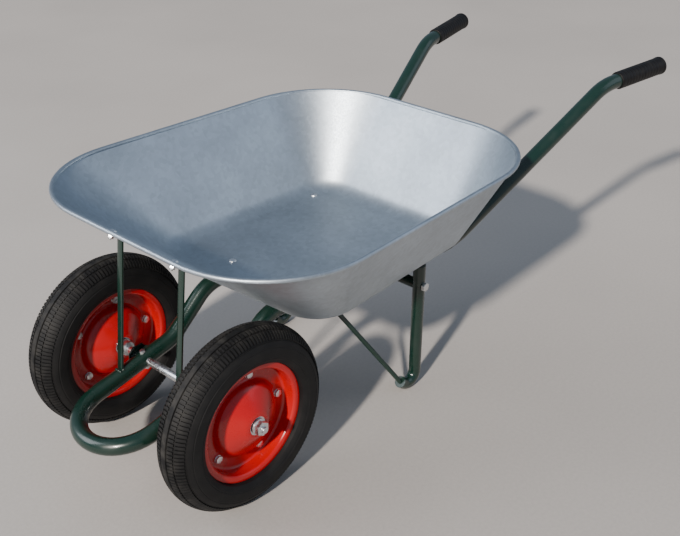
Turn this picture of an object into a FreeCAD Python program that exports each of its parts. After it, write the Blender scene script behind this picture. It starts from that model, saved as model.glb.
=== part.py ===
"""Two-wheeled garden wheelbarrow: a pressed galvanised tray on a frame of bent tube.

Sizes are in millimetres. +X points forward to the wheels, +Y to the left and +Z up.
The origin is on the ground, below the middle of the barrow's length and width.
"""
import FreeCAD, Part
import math
import os
import re
import Sketcher
from FreeCAD import Placement, Rotation, Vector

# Driving sizes: name, value and what it is. Heights are above the ground, and the lengths
# called "ahead" or "behind" are measured along X from the axle.
SIZES = [
    ("axle_x", 512.6, "axle's place along X"),
    # Wheels
    ("wheel_d", 350.0, "tyre's outside diameter"),
    ("tyre_section_d", 84.0, "tyre's width across the section"),
    ("tyre_casing", 12.0, "tyre's wall with its tread"),
    ("track", 374.0, "distance between the wheels' middle planes"),
    ("rim_seat_d", 203.2, "rim's bead seat diameter, eight inches"),
    ("rim_flange_d", 226.0, "rim's flange diameter"),
    ("rim_width", 57.0, "rim's width over its flanges"),
    ("rim_sheet", 1.5, "rim's sheet thickness"),
    ("dome_foot_d", 146.0, "diameter of the rim's dome where it leaves the flat ring"),
    ("dome_knee_d", 134.0, "diameter of the dome at its shoulder"),
    ("dome_knee_rise", 17.0, "height of the dome's shoulder"),
    ("dome_nose_d", 48.0, "diameter of the dome's flat nose"),
    ("rim_bolt_circle_d", 166.0, "circle of the rim bolts"),
    ("rim_bolt_turn", 30.0, "angle of the first rim bolt"),
    ("rim_bolt_d", 8.0, "rim bolt's diameter"),
    ("rim_hex", 13.0, "rim bolt's head across flats"),
    ("rim_head", 5.3, "rim bolt's head height"),
    ("rim_nut", 6.5, "rim nut's height"),
    ("hub_d", 40.0, "hub tube's outside diameter"),
    ("hub_length", 80.0, "hub tube's length"),
    ("bearing_d", 35.0, "bearing's outside diameter"),
    ("bearing_width", 11.0, "bearing's width"),
    ("bearing_recess", 1.0, "bearing's depth below the hub's end"),
    ("bead_gap", 36.0, "opening between the tyre's beads"),
    ("inner_tube_gap", 0.5, "between the inner tube and the tyre"),
    ("inner_tube_wall", 2.0, "inner tube's wall"),
    ("valve_d", 8.0, "valve stem's diameter"),
    ("valve_length", 27.0, "valve stem's length"),
    ("valve_root", 2.8, "valve stem's end above the bead seat"),
    ("valve_offset", 12.0, "valve's distance from the wheel's middle plane"),
    ("valve_turn", 66.0, "valve's angle, between two rim bolts"),
    # Axle
    ("axle_d", 16.0, "axle's diameter"),
    ("axle_overhang", 6.0, "axle's point beyond its nut"),
    ("axle_point_d", 12.0, "diameter of the axle's point"),
    ("running_clearance", 0.05, "bearing on axle, radial"),
    ("side_clearance", 0.3, "between a hub's end and its washer"),
    ("washer_thick", 3.0, "axle washer's thickness"),
    ("washer_d", 30.0, "axle washer's diameter"),
    ("axle_nut", 10.0, "axle nut's height"),
    ("axle_hex", 24.0, "axle nut across flats"),
    ("collar_d", 28.0, "axle collar's diameter"),
    ("collar_width", 12.0, "axle collar's width"),
    ("axle_plate", 4.0, "axle plate's thickness"),
    ("axle_plate_side", 44.0, "axle plate's side"),
    ("axle_plate_corner", 12.0, "axle plate's cut corner"),
    # Frame tubes
    ("tube_d", 32.0, "frame tubes' outside diameter"),
    ("tube_wall", 1.6, "frame tubes' wall"),
    ("arm_half_gap", 83.0, "arm's centre line from the middle plane, and the nose loop's radius"),
    ("arm_slope", 11.5, "arms' fall towards the nose, in degrees"),
    ("nose_ahead", 193.0, "nose's centre line ahead of the axle"),
    ("nose_straight", 20.0, "straight ends of the nose loop, where the side tubes join it"),
    ("riser_foot_behind", 68.0, "corner where the arms turn up"),
    ("riser_top_behind", 162.0, "corner where the risers meet the rails"),
    ("rail_knee_behind", 263.0, "corner where the rails start to spread"),
    ("rail_end_behind", 624.0, "corner where the handles start to rise"),
    ("handle_bend_behind", 1042.0, "corner where the handles level out"),
    ("handle_bend_half", 246.0, "the same corner's distance from the middle plane"),
    ("handle_bend_z", 526.0, "the same corner's height"),
    ("handle_end_behind", 1227.0, "handle tube's end"),
    ("handle_end_half", 279.0, "handle tube's end from the middle plane"),
    ("handle_end_z", 535.0, "handle tube's end height"),
    ("riser_foot_bend", 70.0, "bend radius at the riser's foot"),
    ("riser_top_bend", 80.0, "bend radius at the riser's top"),
    ("rail_bend", 200.0, "bend radius where the rails start to spread"),
    ("rail_end_bend", 150.0, "bend radius where the handles start to rise"),
    ("handle_bend", 120.0, "bend radius where the handles level out"),
    ("grip_wall", 3.5, "grip's wall over the tube"),
    ("grip_length", 145.0, "grip's length over the tube"),
    ("grip_end", 4.0, "grip's closed end"),
    ("grip_flange_rise", 2.0, "height of the grip's end bead over the grip"),
    ("grip_flange", 8.0, "length of the grip's end bead"),
    # Tray
    ("floor_z", 290.0, "underside of the tray's floor"),
    ("rim_z", 492.0, "top of the tray's rolled edge"),
    ("tray_sheet", 1.5, "tray's sheet thickness"),
    ("bead_d", 9.0, "rolled edge's diameter"),
    ("rim_ahead", 83.0, "tray edge's front ahead of the axle"),
    ("rim_length", 830.0, "tray edge's length"),
    ("rim_front_half", 357.0, "tray edge's half width at the front"),
    ("rim_corner", 208.0, "tray edge's corner radius"),
    ("floor_behind", 165.0, "tray floor's front behind the axle, before rounding"),
    ("floor_length", 460.0, "tray floor's length, before rounding"),
    ("floor_front_half", 226.0, "tray floor's half width at the front, before rounding"),
    ("floor_corner", 75.0, "tray floor's corner radius"),
    ("tray_taper", 2.62, "how far each long side turns in towards the handles, in degrees"),
    ("floor_round", 50.0, "radius between the floor and the walls"),
    # Straps and tray bolts
    ("strap_thick", 5.0, "cross strap's thickness"),
    ("strap_width", 30.0, "cross strap's width"),
    ("front_strap_behind", 232.0, "front strap's middle behind the axle"),
    ("front_strap_half", 120.0, "front strap's half length"),
    ("rear_strap_behind", 567.0, "rear strap's middle behind the axle"),
    ("rear_strap_half", 196.0, "rear strap's half length"),
    ("rear_bolt_half", 180.0, "rear tray bolts from the middle plane"),
    ("tray_bolt_d", 8.0, "tray bolt's diameter"),
    ("tray_head_d", 16.0, "tray bolt's round head"),
    ("tray_head", 4.5, "tray bolt's head height"),
    ("bolt_clearance", 0.2, "radial clearance of a bolt in its hole"),
    ("small_hex", 13.0, "nut across flats on the tray, strut and leg bolts"),
    ("small_nut", 6.5, "height of the same nuts"),
    ("bolt_overhang", 3.0, "bolt's end beyond its nut"),
    # Tray struts
    ("strut_width", 14.0, "strut bar's width"),
    ("strut_thick", 4.0, "strut bar's thickness"),
    ("strut_foot_ahead", 57.0, "strut's foot on the arm, ahead of the axle"),
    ("strut_top_ahead", 22.0, "strut's bend under the tray, ahead of the axle"),
    ("strut_tab", 34.0, "strut's tab along the tray's wall"),
    ("strut_bolt_d", 6.0, "strut bolt's diameter"),
    # Axle lock bolts
    ("lock_bolt_d", 6.0, "axle lock bolt's diameter"),
    ("lock_hex", 10.0, "axle lock bolt's head across flats"),
    ("lock_head", 4.0, "axle lock bolt's head height"),
    # Legs
    ("leg_d", 25.0, "leg tube's outside diameter"),
    ("leg_wall", 1.5, "leg tube's wall"),
    ("leg_top_drop", 4.0, "leg's top below the tray's floor"),
    ("leg_top_behind", 476.0, "leg's top behind the axle"),
    ("leg_top_half", 195.0, "leg's top from the middle plane"),
    ("foot_behind", 483.0, "leg's heel behind the axle"),
    ("foot_half", 187.0, "leg's foot from the middle plane"),
    ("foot_sole", 32.0, "length from the heel's corner to the toe's corner"),
    ("foot_toe", 15.0, "toe's length along X past its corner"),
    ("foot_toe_rise", 12.5, "toe's rise"),
    ("foot_bend", 22.0, "bend radius of the heel and toe"),
    ("cap_thick", 2.0, "plate that closes a leg's top"),
    ("cross_tube_d", 22.0, "leg cross tube's outside diameter"),
    ("cross_tube_wall", 1.5, "leg cross tube's wall"),
    ("insert_length", 25.0, "threaded insert in the cross tube's end"),
    ("leg_bolt_d", 10.0, "leg bolt's diameter"),
    ("leg_hex", 16.0, "leg bolt's head across flats"),
    ("leg_head", 6.4, "leg bolt's head height"),
    ("brace_d", 10.0, "leg brace rod's diameter"),
    ("brace_top_behind", 292.0, "brace's top on the rail, behind the axle"),
]
NAMES = {name for name, _, _ in SIZES}
SIDES = {"left": 1, "right": -1}
RIM_BOLTS = 5
OUTPUT = "parts"

doc = FreeCAD.newDocument("Wheelbarrow")
sheet = doc.addObject("Spreadsheet::Sheet", "Sizes")
for row, (name, number, meaning) in enumerate(SIZES, start=1):
    sheet.set(f"A{row}", name)
    sheet.set(f"B{row}", str(number))
    sheet.set(f"C{row}", meaning)
    sheet.setAlias(f"B{row}", name)
doc.recompute()

nodes = []


# ---------------------------------------------------------------- formulas and places

def formula(text):
    """A formula on size names, as the document's own expression."""
    return re.sub(r"[a-z_]+", lambda word: f"Sizes.{word[0]}" if word[0] in NAMES else word[0], str(text))


def value(text):
    """The present value of a formula on size names."""
    return float(sheet.evalExpression(formula(text)))


def bind(item, **formulas):
    for name, text in formulas.items():
        item.setExpression(name, formula(text))
    return item


def place(item, x=0, y=0, z=0, turn=None):
    """Puts an object at formulas x, y and z, turned by a fixed rotation."""
    item.Placement = Placement(Vector(), turn or Rotation())
    for axis, text in zip("xyz", (x, y, z)):
        item.setExpression(f"Placement.Base.{axis}", formula(text))
    return item


def keep(item, label):
    """Marks an object as a finished sub-part and gives it its name."""
    item.Label = label
    nodes.append(item)
    return item


ALONG_Y = Rotation(Vector(1, 0, 0), -90)
AGAINST_Y = Rotation(Vector(1, 0, 0), 90)


def solid(kind, name, **formulas):
    """One of Part's primitives with its sizes bound to formulas."""
    return bind(doc.addObject(f"Part::{kind}", name), **formulas)


def cut(name, base, *tools):
    """The base with the tools taken away."""
    item = doc.addObject("Part::Cut", name)
    item.Base = base
    item.Tool = tools[0] if len(tools) == 1 else fuse(name + "_tools", *tools)
    return item


def fuse(name, *pieces):
    item = doc.addObject("Part::MultiFuse", name)
    item.Shapes = list(pieces)
    return item


def group(name, pieces):
    """Like pieces kept as separate solids of one sub-part."""
    item = doc.addObject("Part::Compound", name)
    item.Links = list(pieces)
    return item


# ---------------------------------------------------------------- sketched bodies

def origin_plane(body, role):
    return next(feature for feature in body.Origin.OriginFeatures if feature.Role == role)


def sketch_on(body, role, name):
    sketch = body.newObject("Sketcher::SketchObject", name)
    sketch.AttachmentSupport = [(origin_plane(body, role), "")]
    sketch.MapMode = "FlatFace"
    return sketch


def pin_point(sketch, geometry, end, across, up):
    """Holds one point of a sketch at two formulas from the sketch's origin."""
    for kind, text in (("DistanceX", across), ("DistanceY", up)):
        index = sketch.addConstraint(Sketcher.Constraint(kind, -1, 1, geometry, end, value(text)))
        sketch.setExpression(f"Constraints[{index}]", formula(text))


def draw_polygon(sketch, corners):
    """A closed outline through corners that are pairs of formulas."""
    points = [Vector(value(across), value(up), 0) for across, up in corners]
    count = len(points)
    for index, point in enumerate(points):
        sketch.addGeometry(Part.LineSegment(point, points[(index + 1) % count]), False)
    for index in range(count):
        sketch.addConstraint(Sketcher.Constraint("Coincident", index, 2, (index + 1) % count, 1))
    for index, (across, up) in enumerate(corners):
        pin_point(sketch, index, 1, across, up)


def draw_circle(sketch, across, up, radius):
    """A circle at two formulas from the origin."""
    centre = Vector(value(across), value(up), 0)
    geometry = sketch.addGeometry(Part.Circle(centre, Vector(0, 0, 1), value(radius)), False)
    pin_point(sketch, geometry, 3, across, up)
    index = sketch.addConstraint(Sketcher.Constraint("Radius", geometry, value(radius)))
    sketch.setExpression(f"Constraints[{index}]", formula(radius))


def turned_body(name, corners):
    """A body turned about its own Z axis from corners (radius, height)."""
    body = doc.addObject("PartDesign::Body", name)
    sketch = sketch_on(body, "XZ_Plane", name + "_profile")
    draw_polygon(sketch, corners)
    turned = body.newObject("PartDesign::Revolution", name + "_turned")
    turned.Profile = sketch
    turned.ReferenceAxis = (sketch, ["V_Axis"])
    turned.Angle = 360
    body.Tip = turned
    return body


def plate_body(name, role, corners, holes, thickness):
    """A flat plate padded up from an outline, with round holes (across, up, radius)."""
    body = doc.addObject("PartDesign::Body", name)
    sketch = sketch_on(body, role, name + "_outline")
    draw_polygon(sketch, corners)
    for across, up, radius in holes:
        draw_circle(sketch, across, up, radius)
    pad = body.newObject("PartDesign::Pad", name + "_pad")
    pad.Profile = sketch
    pad.setExpression("Length", formula(thickness))
    body.Tip = pad
    return body


# ---------------------------------------------------------------- bent tubes and bars

def rounded_path(points, radii):
    """A wire of straight runs joined by tangent arcs at the inner points."""
    edges = []
    start = points[0]
    for before, corner, after, radius in zip(points, points[1:], points[2:], radii):
        back = (before - corner).normalize()
        ahead = (after - corner).normalize()
        half_turn = (math.pi - back.getAngle(ahead)) / 2
        reach = radius * math.tan(half_turn)
        middle = corner + (back + ahead).normalize() * (radius / math.cos(half_turn) - radius)
        arc = (corner + back * reach, middle, corner + ahead * reach)
        if start.distanceToPoint(arc[0]) > 0.001:
            edges.append(Part.LineSegment(start, arc[0]).toShape())
        edges.append(Part.Arc(*arc).toShape())
        start = arc[2]
    edges.append(Part.LineSegment(start, points[-1]).toShape())
    return Part.Wire(edges)


def rod_along(path, diameter):
    """A solid round rod that follows a wire."""
    start = path.OrderedEdges[0]
    first = start.valueAt(start.FirstParameter)
    heading = start.tangentAt(start.FirstParameter)
    section = Part.Wire(Part.makeCircle(diameter / 2, first, heading))
    return path.makePipeShell([section], True, False)


def tube_along(path, diameter, wall):
    """An open-ended tube that follows a wire."""
    return rod_along(path, diameter).cut(rod_along(path, diameter - 2 * wall))


def bar_along(path, width, thick):
    """A solid flat bar that follows a wire in an XZ plane, its width along Y."""
    start = path.OrderedEdges[0]
    first = start.valueAt(start.FirstParameter)
    heading = start.tangentAt(start.FirstParameter)
    across = Vector(0, width / 2, 0)
    depth = heading.cross(Vector(0, 1, 0)) * (thick / 2)
    corners = [first + across + depth, first - across + depth, first - across - depth, first + across - depth]
    section = Part.makePolygon(corners + corners[:1])
    return path.makePipeShell([section], True, False)


def shaped(name, shape):
    """A sub-part whose shape Part's own functions have made."""
    item = doc.addObject("Part::Feature", name)
    item.Shape = shape
    item.Placement = Placement()
    return keep(item, name)


def at(ahead, half, height):
    """A point from formulas: distance ahead of the axle, distance from the middle plane, height."""
    return Vector(value("axle_x") + value(ahead), value(half), value(height))


def drill(point, direction, diameter, length):
    """A round cutter centred on a point."""
    start = point - direction * (length / 2)
    return Part.makeCylinder(diameter / 2, length, start, direction)


# ---------------------------------------------------------------- bolts and nuts

def hex_bolt(name, flats, head, diameter, length):
    """A bolt whose head stands on Z = 0 and whose shank points down."""
    cap = solid("Prism", name + "_head", Circumradius=f"{flats} / 2 / cos(30)", Height=head)
    shank = solid("Cylinder", name + "_shank", Radius=f"{diameter} / 2", Height=length)
    place(shank, z=f"-({length})")
    return fuse(name, cap, shank)


def round_bolt(name, head_d, head, diameter, length):
    """A low round-headed bolt whose head stands on Z = 0 and whose shank points down."""
    cap = solid("Cone", name + "_head", Radius1=f"{head_d} / 2", Radius2=f"{head_d} / 3", Height=head)
    shank = solid("Cylinder", name + "_shank", Radius=f"{diameter} / 2", Height=length)
    place(shank, z=f"-({length})")
    return fuse(name, cap, shank)


def hex_nut(name, flats, height, diameter):
    """A nut that stands on Z = 0."""
    block = solid("Prism", name + "_block", Circumradius=f"{flats} / 2 / cos(30)", Height=height)
    bore = solid("Cylinder", name + "_bore", Radius=f"{diameter} / 2", Height=height)
    return cut(name, block, bore)


def ring(name, outer, inner, height):
    """A flat ring that stands on Z = 0, from two diameters."""
    disc = solid("Cylinder", name + "_disc", Radius=f"({outer}) / 2", Height=height)
    bore = solid("Cylinder", name + "_bore", Radius=f"({inner}) / 2", Height=height)
    return cut(name, disc, bore)


# ---------------------------------------------------------------- frame tubes and grips

RAIL_Z = "(floor_z - strap_thick - tube_d / 2)"
REAR_SPREAD = "(rail_end_behind - rail_knee_behind) / (handle_bend_behind - rail_knee_behind)"
RAIL_END_HALF = f"(arm_half_gap + (handle_bend_half - arm_half_gap) * {REAR_SPREAD})"


def arm_z(ahead):
    """The height of the arms' centre line, which crosses the axle's, as a formula."""
    return f"(wheel_d / 2 - ({ahead}) * tan(arm_slope))"


def frame_corners(side):
    """The frame's corners on one side, from the handle's end to the nose."""
    half = side * value("arm_half_gap")
    return [
        at("-handle_end_behind", side * value("handle_end_half"), "handle_end_z"),
        at("-handle_bend_behind", side * value("handle_bend_half"), "handle_bend_z"),
        at("-rail_end_behind", side * value(RAIL_END_HALF), RAIL_Z),
        at("-rail_knee_behind", half, RAIL_Z),
        at("-riser_top_behind", half, RAIL_Z),
        at("-riser_foot_behind", half, arm_z("-riser_foot_behind")),
        at("nose_ahead", half, arm_z("nose_ahead")),
    ]


def arm_up():
    """The direction square to the arms, upwards."""
    slope = math.radians(value("arm_slope"))
    return Vector(math.sin(slope), 0, math.cos(slope))


def side_holes(side):
    """The cutters for the axle, its lock bolt and the front tray bolt in one side of the frame."""
    half = side * value("arm_half_gap")
    through = value("2 * tube_d")
    holes = (
        (at(0, half, "wheel_d / 2"), Vector(0, 1, 0), "axle_d"),
        (at(0, half, "wheel_d / 2"), arm_up(), "lock_bolt_d"),
        (at("-front_strap_behind", half, RAIL_Z), Vector(0, 0, 1), "tray_bolt_d"),
    )
    return [drill(point, along, value(f"{bolt} + 2 * bolt_clearance"), through) for point, along, bolt in holes]


def frame_tubes():
    """A bent tube on each side, from the handle to the nose, and the loop that joins them there."""
    bends = ["handle_bend", "rail_end_bend", "rail_bend", "riser_top_bend", "riser_foot_bend"]
    radii = [value(name) for name in bends]
    nose_radius = value("arm_half_gap")
    sizes = value("tube_d"), value("tube_wall")
    nose = []
    for side_name, side in SIDES.items():
        *corners, riser_foot, tip = frame_corners(side)
        joint = tip + (riser_foot - tip).normalize() * (nose_radius + value("nose_straight"))
        path = rounded_path([*corners, riser_foot, joint], radii)
        shaped(f"{side_name}_frame_tube", tube_along(path, *sizes).cut(side_holes(side)))
        nose.append((joint, tip))
    (left_joint, left_tip), (right_joint, right_tip) = nose
    loop = rounded_path([left_joint, left_tip, right_tip, right_joint], [nose_radius] * 2)
    shaped("nose_loop", tube_along(loop, *sizes))


def grip(label, side):
    """A closed sleeve pushed on a handle's end."""
    flange_start = "grip_length - grip_flange"
    outside = "tube_d / 2 + grip_wall"
    bead = outside + " + grip_flange_rise"
    body = turned_body(label + "_body", [
        ("tube_d / 2", "0"),
        (outside + " - 1", "0"),
        (outside, "2"),
        (outside, flange_start),
        (bead, f"{flange_start} + 2"),
        (bead, "grip_length + grip_end - 3"),
        (bead + " - 3", "grip_length + grip_end"),
        ("0", "grip_length + grip_end"),
        ("0", "grip_length"),
        ("tube_d / 2", "grip_length"),
    ])
    end, bend = frame_corners(side)[:2]
    heading = (end - bend).normalize()
    start = end - heading * value("grip_length")
    body.Placement = Placement(start, Rotation(Vector(0, 0, 1), heading))
    keep(body, label)


# ---------------------------------------------------------------- tray

def tray_outline(ahead, length, front_half, corner, height):
    """A rounded outline that narrows towards the handles, as a wire."""
    narrowing = length * math.tan(math.radians(value("tray_taper")))
    front = value("axle_x") + ahead
    rear = front - length
    rear_half = front_half - narrowing
    corners = [
        Vector(front, 0, height),
        Vector(front, front_half, height),
        Vector(rear, rear_half, height),
        Vector(rear, -rear_half, height),
        Vector(front, -front_half, height),
        Vector(front, 0, height),
    ]
    return rounded_path(corners, [corner] * 4)


def tray_edge():
    """The middle of the rolled edge."""
    inset = value("bead_d / 2")
    return tray_outline(
        value("rim_ahead") - inset,
        value("rim_length") - 2 * inset,
        value("rim_front_half") - inset,
        value("rim_corner") - inset,
        value("rim_z") - inset,
    )


def tray_floor():
    """The floor's outline before the round between floor and walls."""
    return tray_outline(
        -value("floor_behind"),
        value("floor_length"),
        value("floor_front_half"),
        value("floor_corner"),
        value("floor_z"),
    )


def wall_direction():
    """The front wall's direction upwards and the direction square to it, out and down."""
    rise = value("rim_z - bead_d / 2 - floor_z")
    run = value("rim_ahead - bead_d / 2 + floor_behind")
    up = Vector(run, 0, rise).normalize()
    return up, Vector(up.z, 0, -up.x)


def wall_point(ahead, side):
    """A point on the front wall's outer face above an arm."""
    up, _ = wall_direction()
    height = value("floor_z") + (ahead + value("floor_behind")) * up.z / up.x
    return Vector(value("axle_x") + ahead, side * value("arm_half_gap"), height)


def strut_bolt_point(side):
    """Where a strut's bolt passes the front wall's outer face."""
    up, _ = wall_direction()
    return wall_point(value("strut_top_ahead"), side) + up * (value("strut_tab") * 0.6)


def tray():
    """A pan pressed from one sheet, with a rolled edge and its bolt holes."""
    block = Part.makeLoft([tray_floor(), tray_edge()], True, True)
    bottom = min(block.Faces, key=lambda face: face.CenterOfMass.z)
    rounded = block.makeFillet(value("floor_round"), bottom.Edges)
    top = max(rounded.Faces, key=lambda face: face.CenterOfMass.z)
    pan = rounded.makeThickness([top], -value("tray_sheet"), 0.001)
    pan = pan.fuse(rod_along(tray_edge(), value("bead_d")))
    length = value("floor_round")
    floor_hole = value("tray_bolt_d + 2 * bolt_clearance")
    strut_hole = value("strut_bolt_d + 2 * bolt_clearance")
    cutters = []
    for side in SIDES.values():
        for behind, half in (("front_strap_behind", "arm_half_gap"), ("rear_strap_behind", "rear_bolt_half")):
            point = at(f"-{behind}", side * value(half), "floor_z")
            cutters.append(drill(point, Vector(0, 0, 1), floor_hole, length))
        cutters.append(drill(strut_bolt_point(side), wall_direction()[1], strut_hole, length))
    return shaped("tray", pan.cut(cutters))


def straps():
    """Two flat straps across the rails, under the tray's floor."""
    for label, behind, half, bolt in (
        ("front_strap", "front_strap_behind", "front_strap_half", "arm_half_gap"),
        ("rear_strap", "rear_strap_behind", "rear_strap_half", "rear_bolt_half"),
    ):
        outline = [
            (f"{x} * strap_width / 2", f"{y} * {half}") for x, y in ((1, 1), (-1, 1), (-1, -1), (1, -1))
        ]
        radius = "tray_bolt_d / 2 + bolt_clearance"
        holes = [("0", bolt, radius), ("0", f"-{bolt}", radius)]
        plate = plate_body(label + "_body", "XY_Plane", outline, holes, "strap_thick")
        keep(place(plate, f"axle_x - {behind}", 0, "floor_z - strap_thick"), label)


def tray_bolts(pan):
    """Round-headed bolts through the floor: two through the rails and two through the rear strap.

    The rear heads bed down where the floor starts to round up to the wall.
    """
    rows = (
        ("front_tray_bolt", "front_strap_behind", "arm_half_gap", "tube_d"),
        ("rear_tray_bolt", "rear_strap_behind", "rear_bolt_half", "0"),
    )
    nuts = []
    for label, behind, half, extra in rows:
        bolts = []
        for side_name, side in SIDES.items():
            length = f"(tray_sheet + strap_thick + {extra} + small_nut + bolt_overhang)"
            name = f"{side_name}_{label}"
            bolt = round_bolt(name, "tray_head_d", "tray_head", "tray_bolt_d", length)
            place(bolt, f"axle_x - {behind}", f"{side} * {half}", "floor_z + tray_sheet")
            bolts.append(cut(name + "_bedded", bolt, pan))
            nut = hex_nut(name + "_nut", "small_hex", "small_nut", "tray_bolt_d")
            below = f"floor_z - strap_thick - {extra} - small_nut"
            nuts.append(place(nut, f"axle_x - {behind}", f"{side} * {half}", below))
        keep(group(label + "s_group", bolts), label + "s")
    keep(group("tray_nuts_group", nuts), "tray_nuts")


def struts():
    """Flat bars from the arms to the tray's front wall, each with a bent tab and a bolt."""
    up, out = wall_direction()
    thick = value("strut_thick")
    tube_d = value("tube_d")
    along_arm = arm_up().cross(Vector(0, 1, 0))
    bolts = []
    nuts = []
    for side_name, side in SIDES.items():
        foot = at("strut_foot_ahead", side * value("arm_half_gap"), arm_z("strut_foot_ahead"))
        bend = wall_point(value("strut_top_ahead"), side) + out * (thick / 2)
        path = rounded_path([foot, bend, bend + up * value("strut_tab")], [2 * thick])
        bar = bar_along(path, value("strut_width"), thick)
        bar = bar.cut(drill(foot, along_arm, tube_d, 4 * tube_d))
        hole = value("strut_bolt_d + 2 * bolt_clearance")
        bar = bar.cut(drill(strut_bolt_point(side), out, hole, 4 * thick))
        shaped(f"{side_name}_tray_strut", bar)
        name = f"{side_name}_strut_bolt"
        length = "(tray_sheet + strut_thick + small_nut + bolt_overhang)"
        bolt = round_bolt(name, "tray_head_d * 0.8", "tray_head", "strut_bolt_d", length)
        turn = Rotation(Vector(0, 0, -1), out)
        bolt.Placement = Placement(strut_bolt_point(side) - out * value("tray_sheet"), turn)
        bolts.append(bolt)
        nut = hex_nut(name + "_nut", "lock_hex", "small_nut", "strut_bolt_d")
        nut.Placement = Placement(strut_bolt_point(side) + out * (thick + value("small_nut")), turn)
        nuts.append(nut)
    keep(group("strut_bolts_group", bolts), "strut_bolts")
    keep(group("strut_nuts_group", nuts), "strut_nuts")


# ---------------------------------------------------------------- axle

HUB_END = "(track / 2 + hub_length / 2)"
HUB_START = "(track / 2 - hub_length / 2)"
AXLE_SHOULDER = f"({HUB_END} + side_clearance + washer_thick + axle_nut)"
AXLE_END = f"({AXLE_SHOULDER} + axle_overhang)"


def axle():
    """A round axle through both arms, with thinner points, drilled for its lock bolts."""
    rods = []
    for name, diameter, end in (("rod", "axle_d", AXLE_SHOULDER), ("core", "axle_point_d", AXLE_END)):
        rod = solid("Cylinder", f"axle_{name}", Radius=f"{diameter} / 2", Height=f"2 * {end}")
        rods.append(place(rod, "axle_x", f"-{end}", "wheel_d / 2", ALONG_Y))
    cutters = []
    for side_name, side in SIDES.items():
        cutter = solid("Cylinder", side_name + "_lock_hole", Radius="lock_bolt_d / 2", Height="tube_d")
        start = at(0, side * value("arm_half_gap"), "wheel_d / 2") - arm_up() * value("tube_d / 2")
        cutter.Placement = Placement(start, Rotation(Vector(0, 0, 1), arm_up()))
        cutters.append(cutter)
    keep(cut("axle_drilled", fuse("axle_turned", *rods), *cutters), "axle")


def axle_plates():
    """Plates welded outside the arms, where the axle passes through."""
    reach = "axle_plate_side / 2"
    corner = f"({reach} - axle_plate_corner)"
    quadrant = [(reach, corner), (corner, reach)]
    outline = quadrant + [(f"-{across}", up) for across, up in reversed(quadrant)]
    outline += [(f"-{across}", f"-{up}") for across, up in quadrant]
    outline += [(across, f"-{up}") for across, up in reversed(quadrant)]
    for side_name, side in SIDES.items():
        holes = [("0", "0", "axle_d / 2 + bolt_clearance")]
        plate = plate_body(f"{side_name}_plate_body", "XY_Plane", outline, holes, "axle_plate")
        turn = ALONG_Y if side > 0 else AGAINST_Y
        place(plate, "axle_x", f"{side} * (arm_half_gap + tube_d / 2)", "wheel_d / 2", turn)
        keep(plate, f"{side_name}_axle_plate")


def axle_fittings():
    """Collars, washers and end nuts that keep the wheels in place."""
    inner_washer = f"({HUB_START} - side_clearance - washer_thick)"
    outer_washer = f"({HUB_END} + side_clearance)"
    fittings = {
        "axle_collars": ("collar_d", "collar_width", f"({inner_washer} - collar_width)"),
        "inner_axle_washers": ("washer_d", "washer_thick", inner_washer),
        "outer_axle_washers": ("washer_d", "washer_thick", outer_washer),
    }
    for label, (outer, width, start) in fittings.items():
        rings = []
        for side_name, side in SIDES.items():
            turn = ALONG_Y if side > 0 else AGAINST_Y
            piece = ring(f"{side_name}_{label}", outer, "axle_d", width)
            rings.append(place(piece, "axle_x", f"{side} * {start}", "wheel_d / 2", turn))
        keep(group(label + "_group", rings), label)
    nuts = []
    for side_name, side in SIDES.items():
        turn = ALONG_Y if side > 0 else AGAINST_Y
        nut = hex_nut(f"{side_name}_end_nut", "axle_hex", "axle_nut", "axle_d")
        start = f"{side} * ({outer_washer} + washer_thick)"
        nuts.append(place(nut, "axle_x", start, "wheel_d / 2", turn))
    keep(group("axle_nuts_group", nuts), "axle_nuts")


def lock_bolts():
    """Bolts down through each arm and the axle, with nuts below."""
    bolts = []
    nuts = []
    for side_name, side in SIDES.items():
        middle = at(0, side * value("arm_half_gap"), "wheel_d / 2")
        turn = Rotation(Vector(0, 0, 1), arm_up())
        length = "(tube_d + small_nut + bolt_overhang)"
        bolt = hex_bolt(f"{side_name}_lock_bolt", "lock_hex", "lock_head", "lock_bolt_d", length)
        bolt.Placement = Placement(middle + arm_up() * value("tube_d / 2"), turn)
        bolts.append(bolt)
        nut = hex_nut(f"{side_name}_lock_nut", "lock_hex", "small_nut", "lock_bolt_d")
        nut.Placement = Placement(middle - arm_up() * value("tube_d / 2 + small_nut"), turn)
        nuts.append(nut)
    keep(group("lock_bolts_group", bolts), "axle_lock_bolts")
    keep(group("lock_nuts_group", nuts), "axle_lock_nuts")


# ---------------------------------------------------------------- legs

CROSS_Z = f"({RAIL_Z} - tube_d / 2 - cross_tube_d / 2)"


def leg_corners(side):
    """A leg's corners from its top to its toe."""
    foot_half = side * value("foot_half")
    sole = "leg_d / 2"
    return [
        at("-leg_top_behind", side * value("leg_top_half"), "floor_z - leg_top_drop"),
        at("-foot_behind", foot_half, sole),
        at("-foot_behind + foot_sole", foot_half, sole),
        at("-foot_behind + foot_sole + foot_toe", foot_half, f"{sole} + foot_toe_rise"),
    ]


def leg_bolt_point(side):
    """Where the leg's centre line is level with the cross tube."""
    top, heel = leg_corners(side)[:2]
    share = (top.z - value(CROSS_Z)) / (top.z - heel.z)
    return top + (heel - top) * share


def without_legs(shape):
    """The shape with room for both legs, so that it meets their round sides."""
    for side in SIDES.values():
        top, heel = leg_corners(side)[:2]
        shape = shape.cut(rod_along(Part.Wire(Part.makeLine(top, heel)), value("leg_d")))
    return shape


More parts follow.
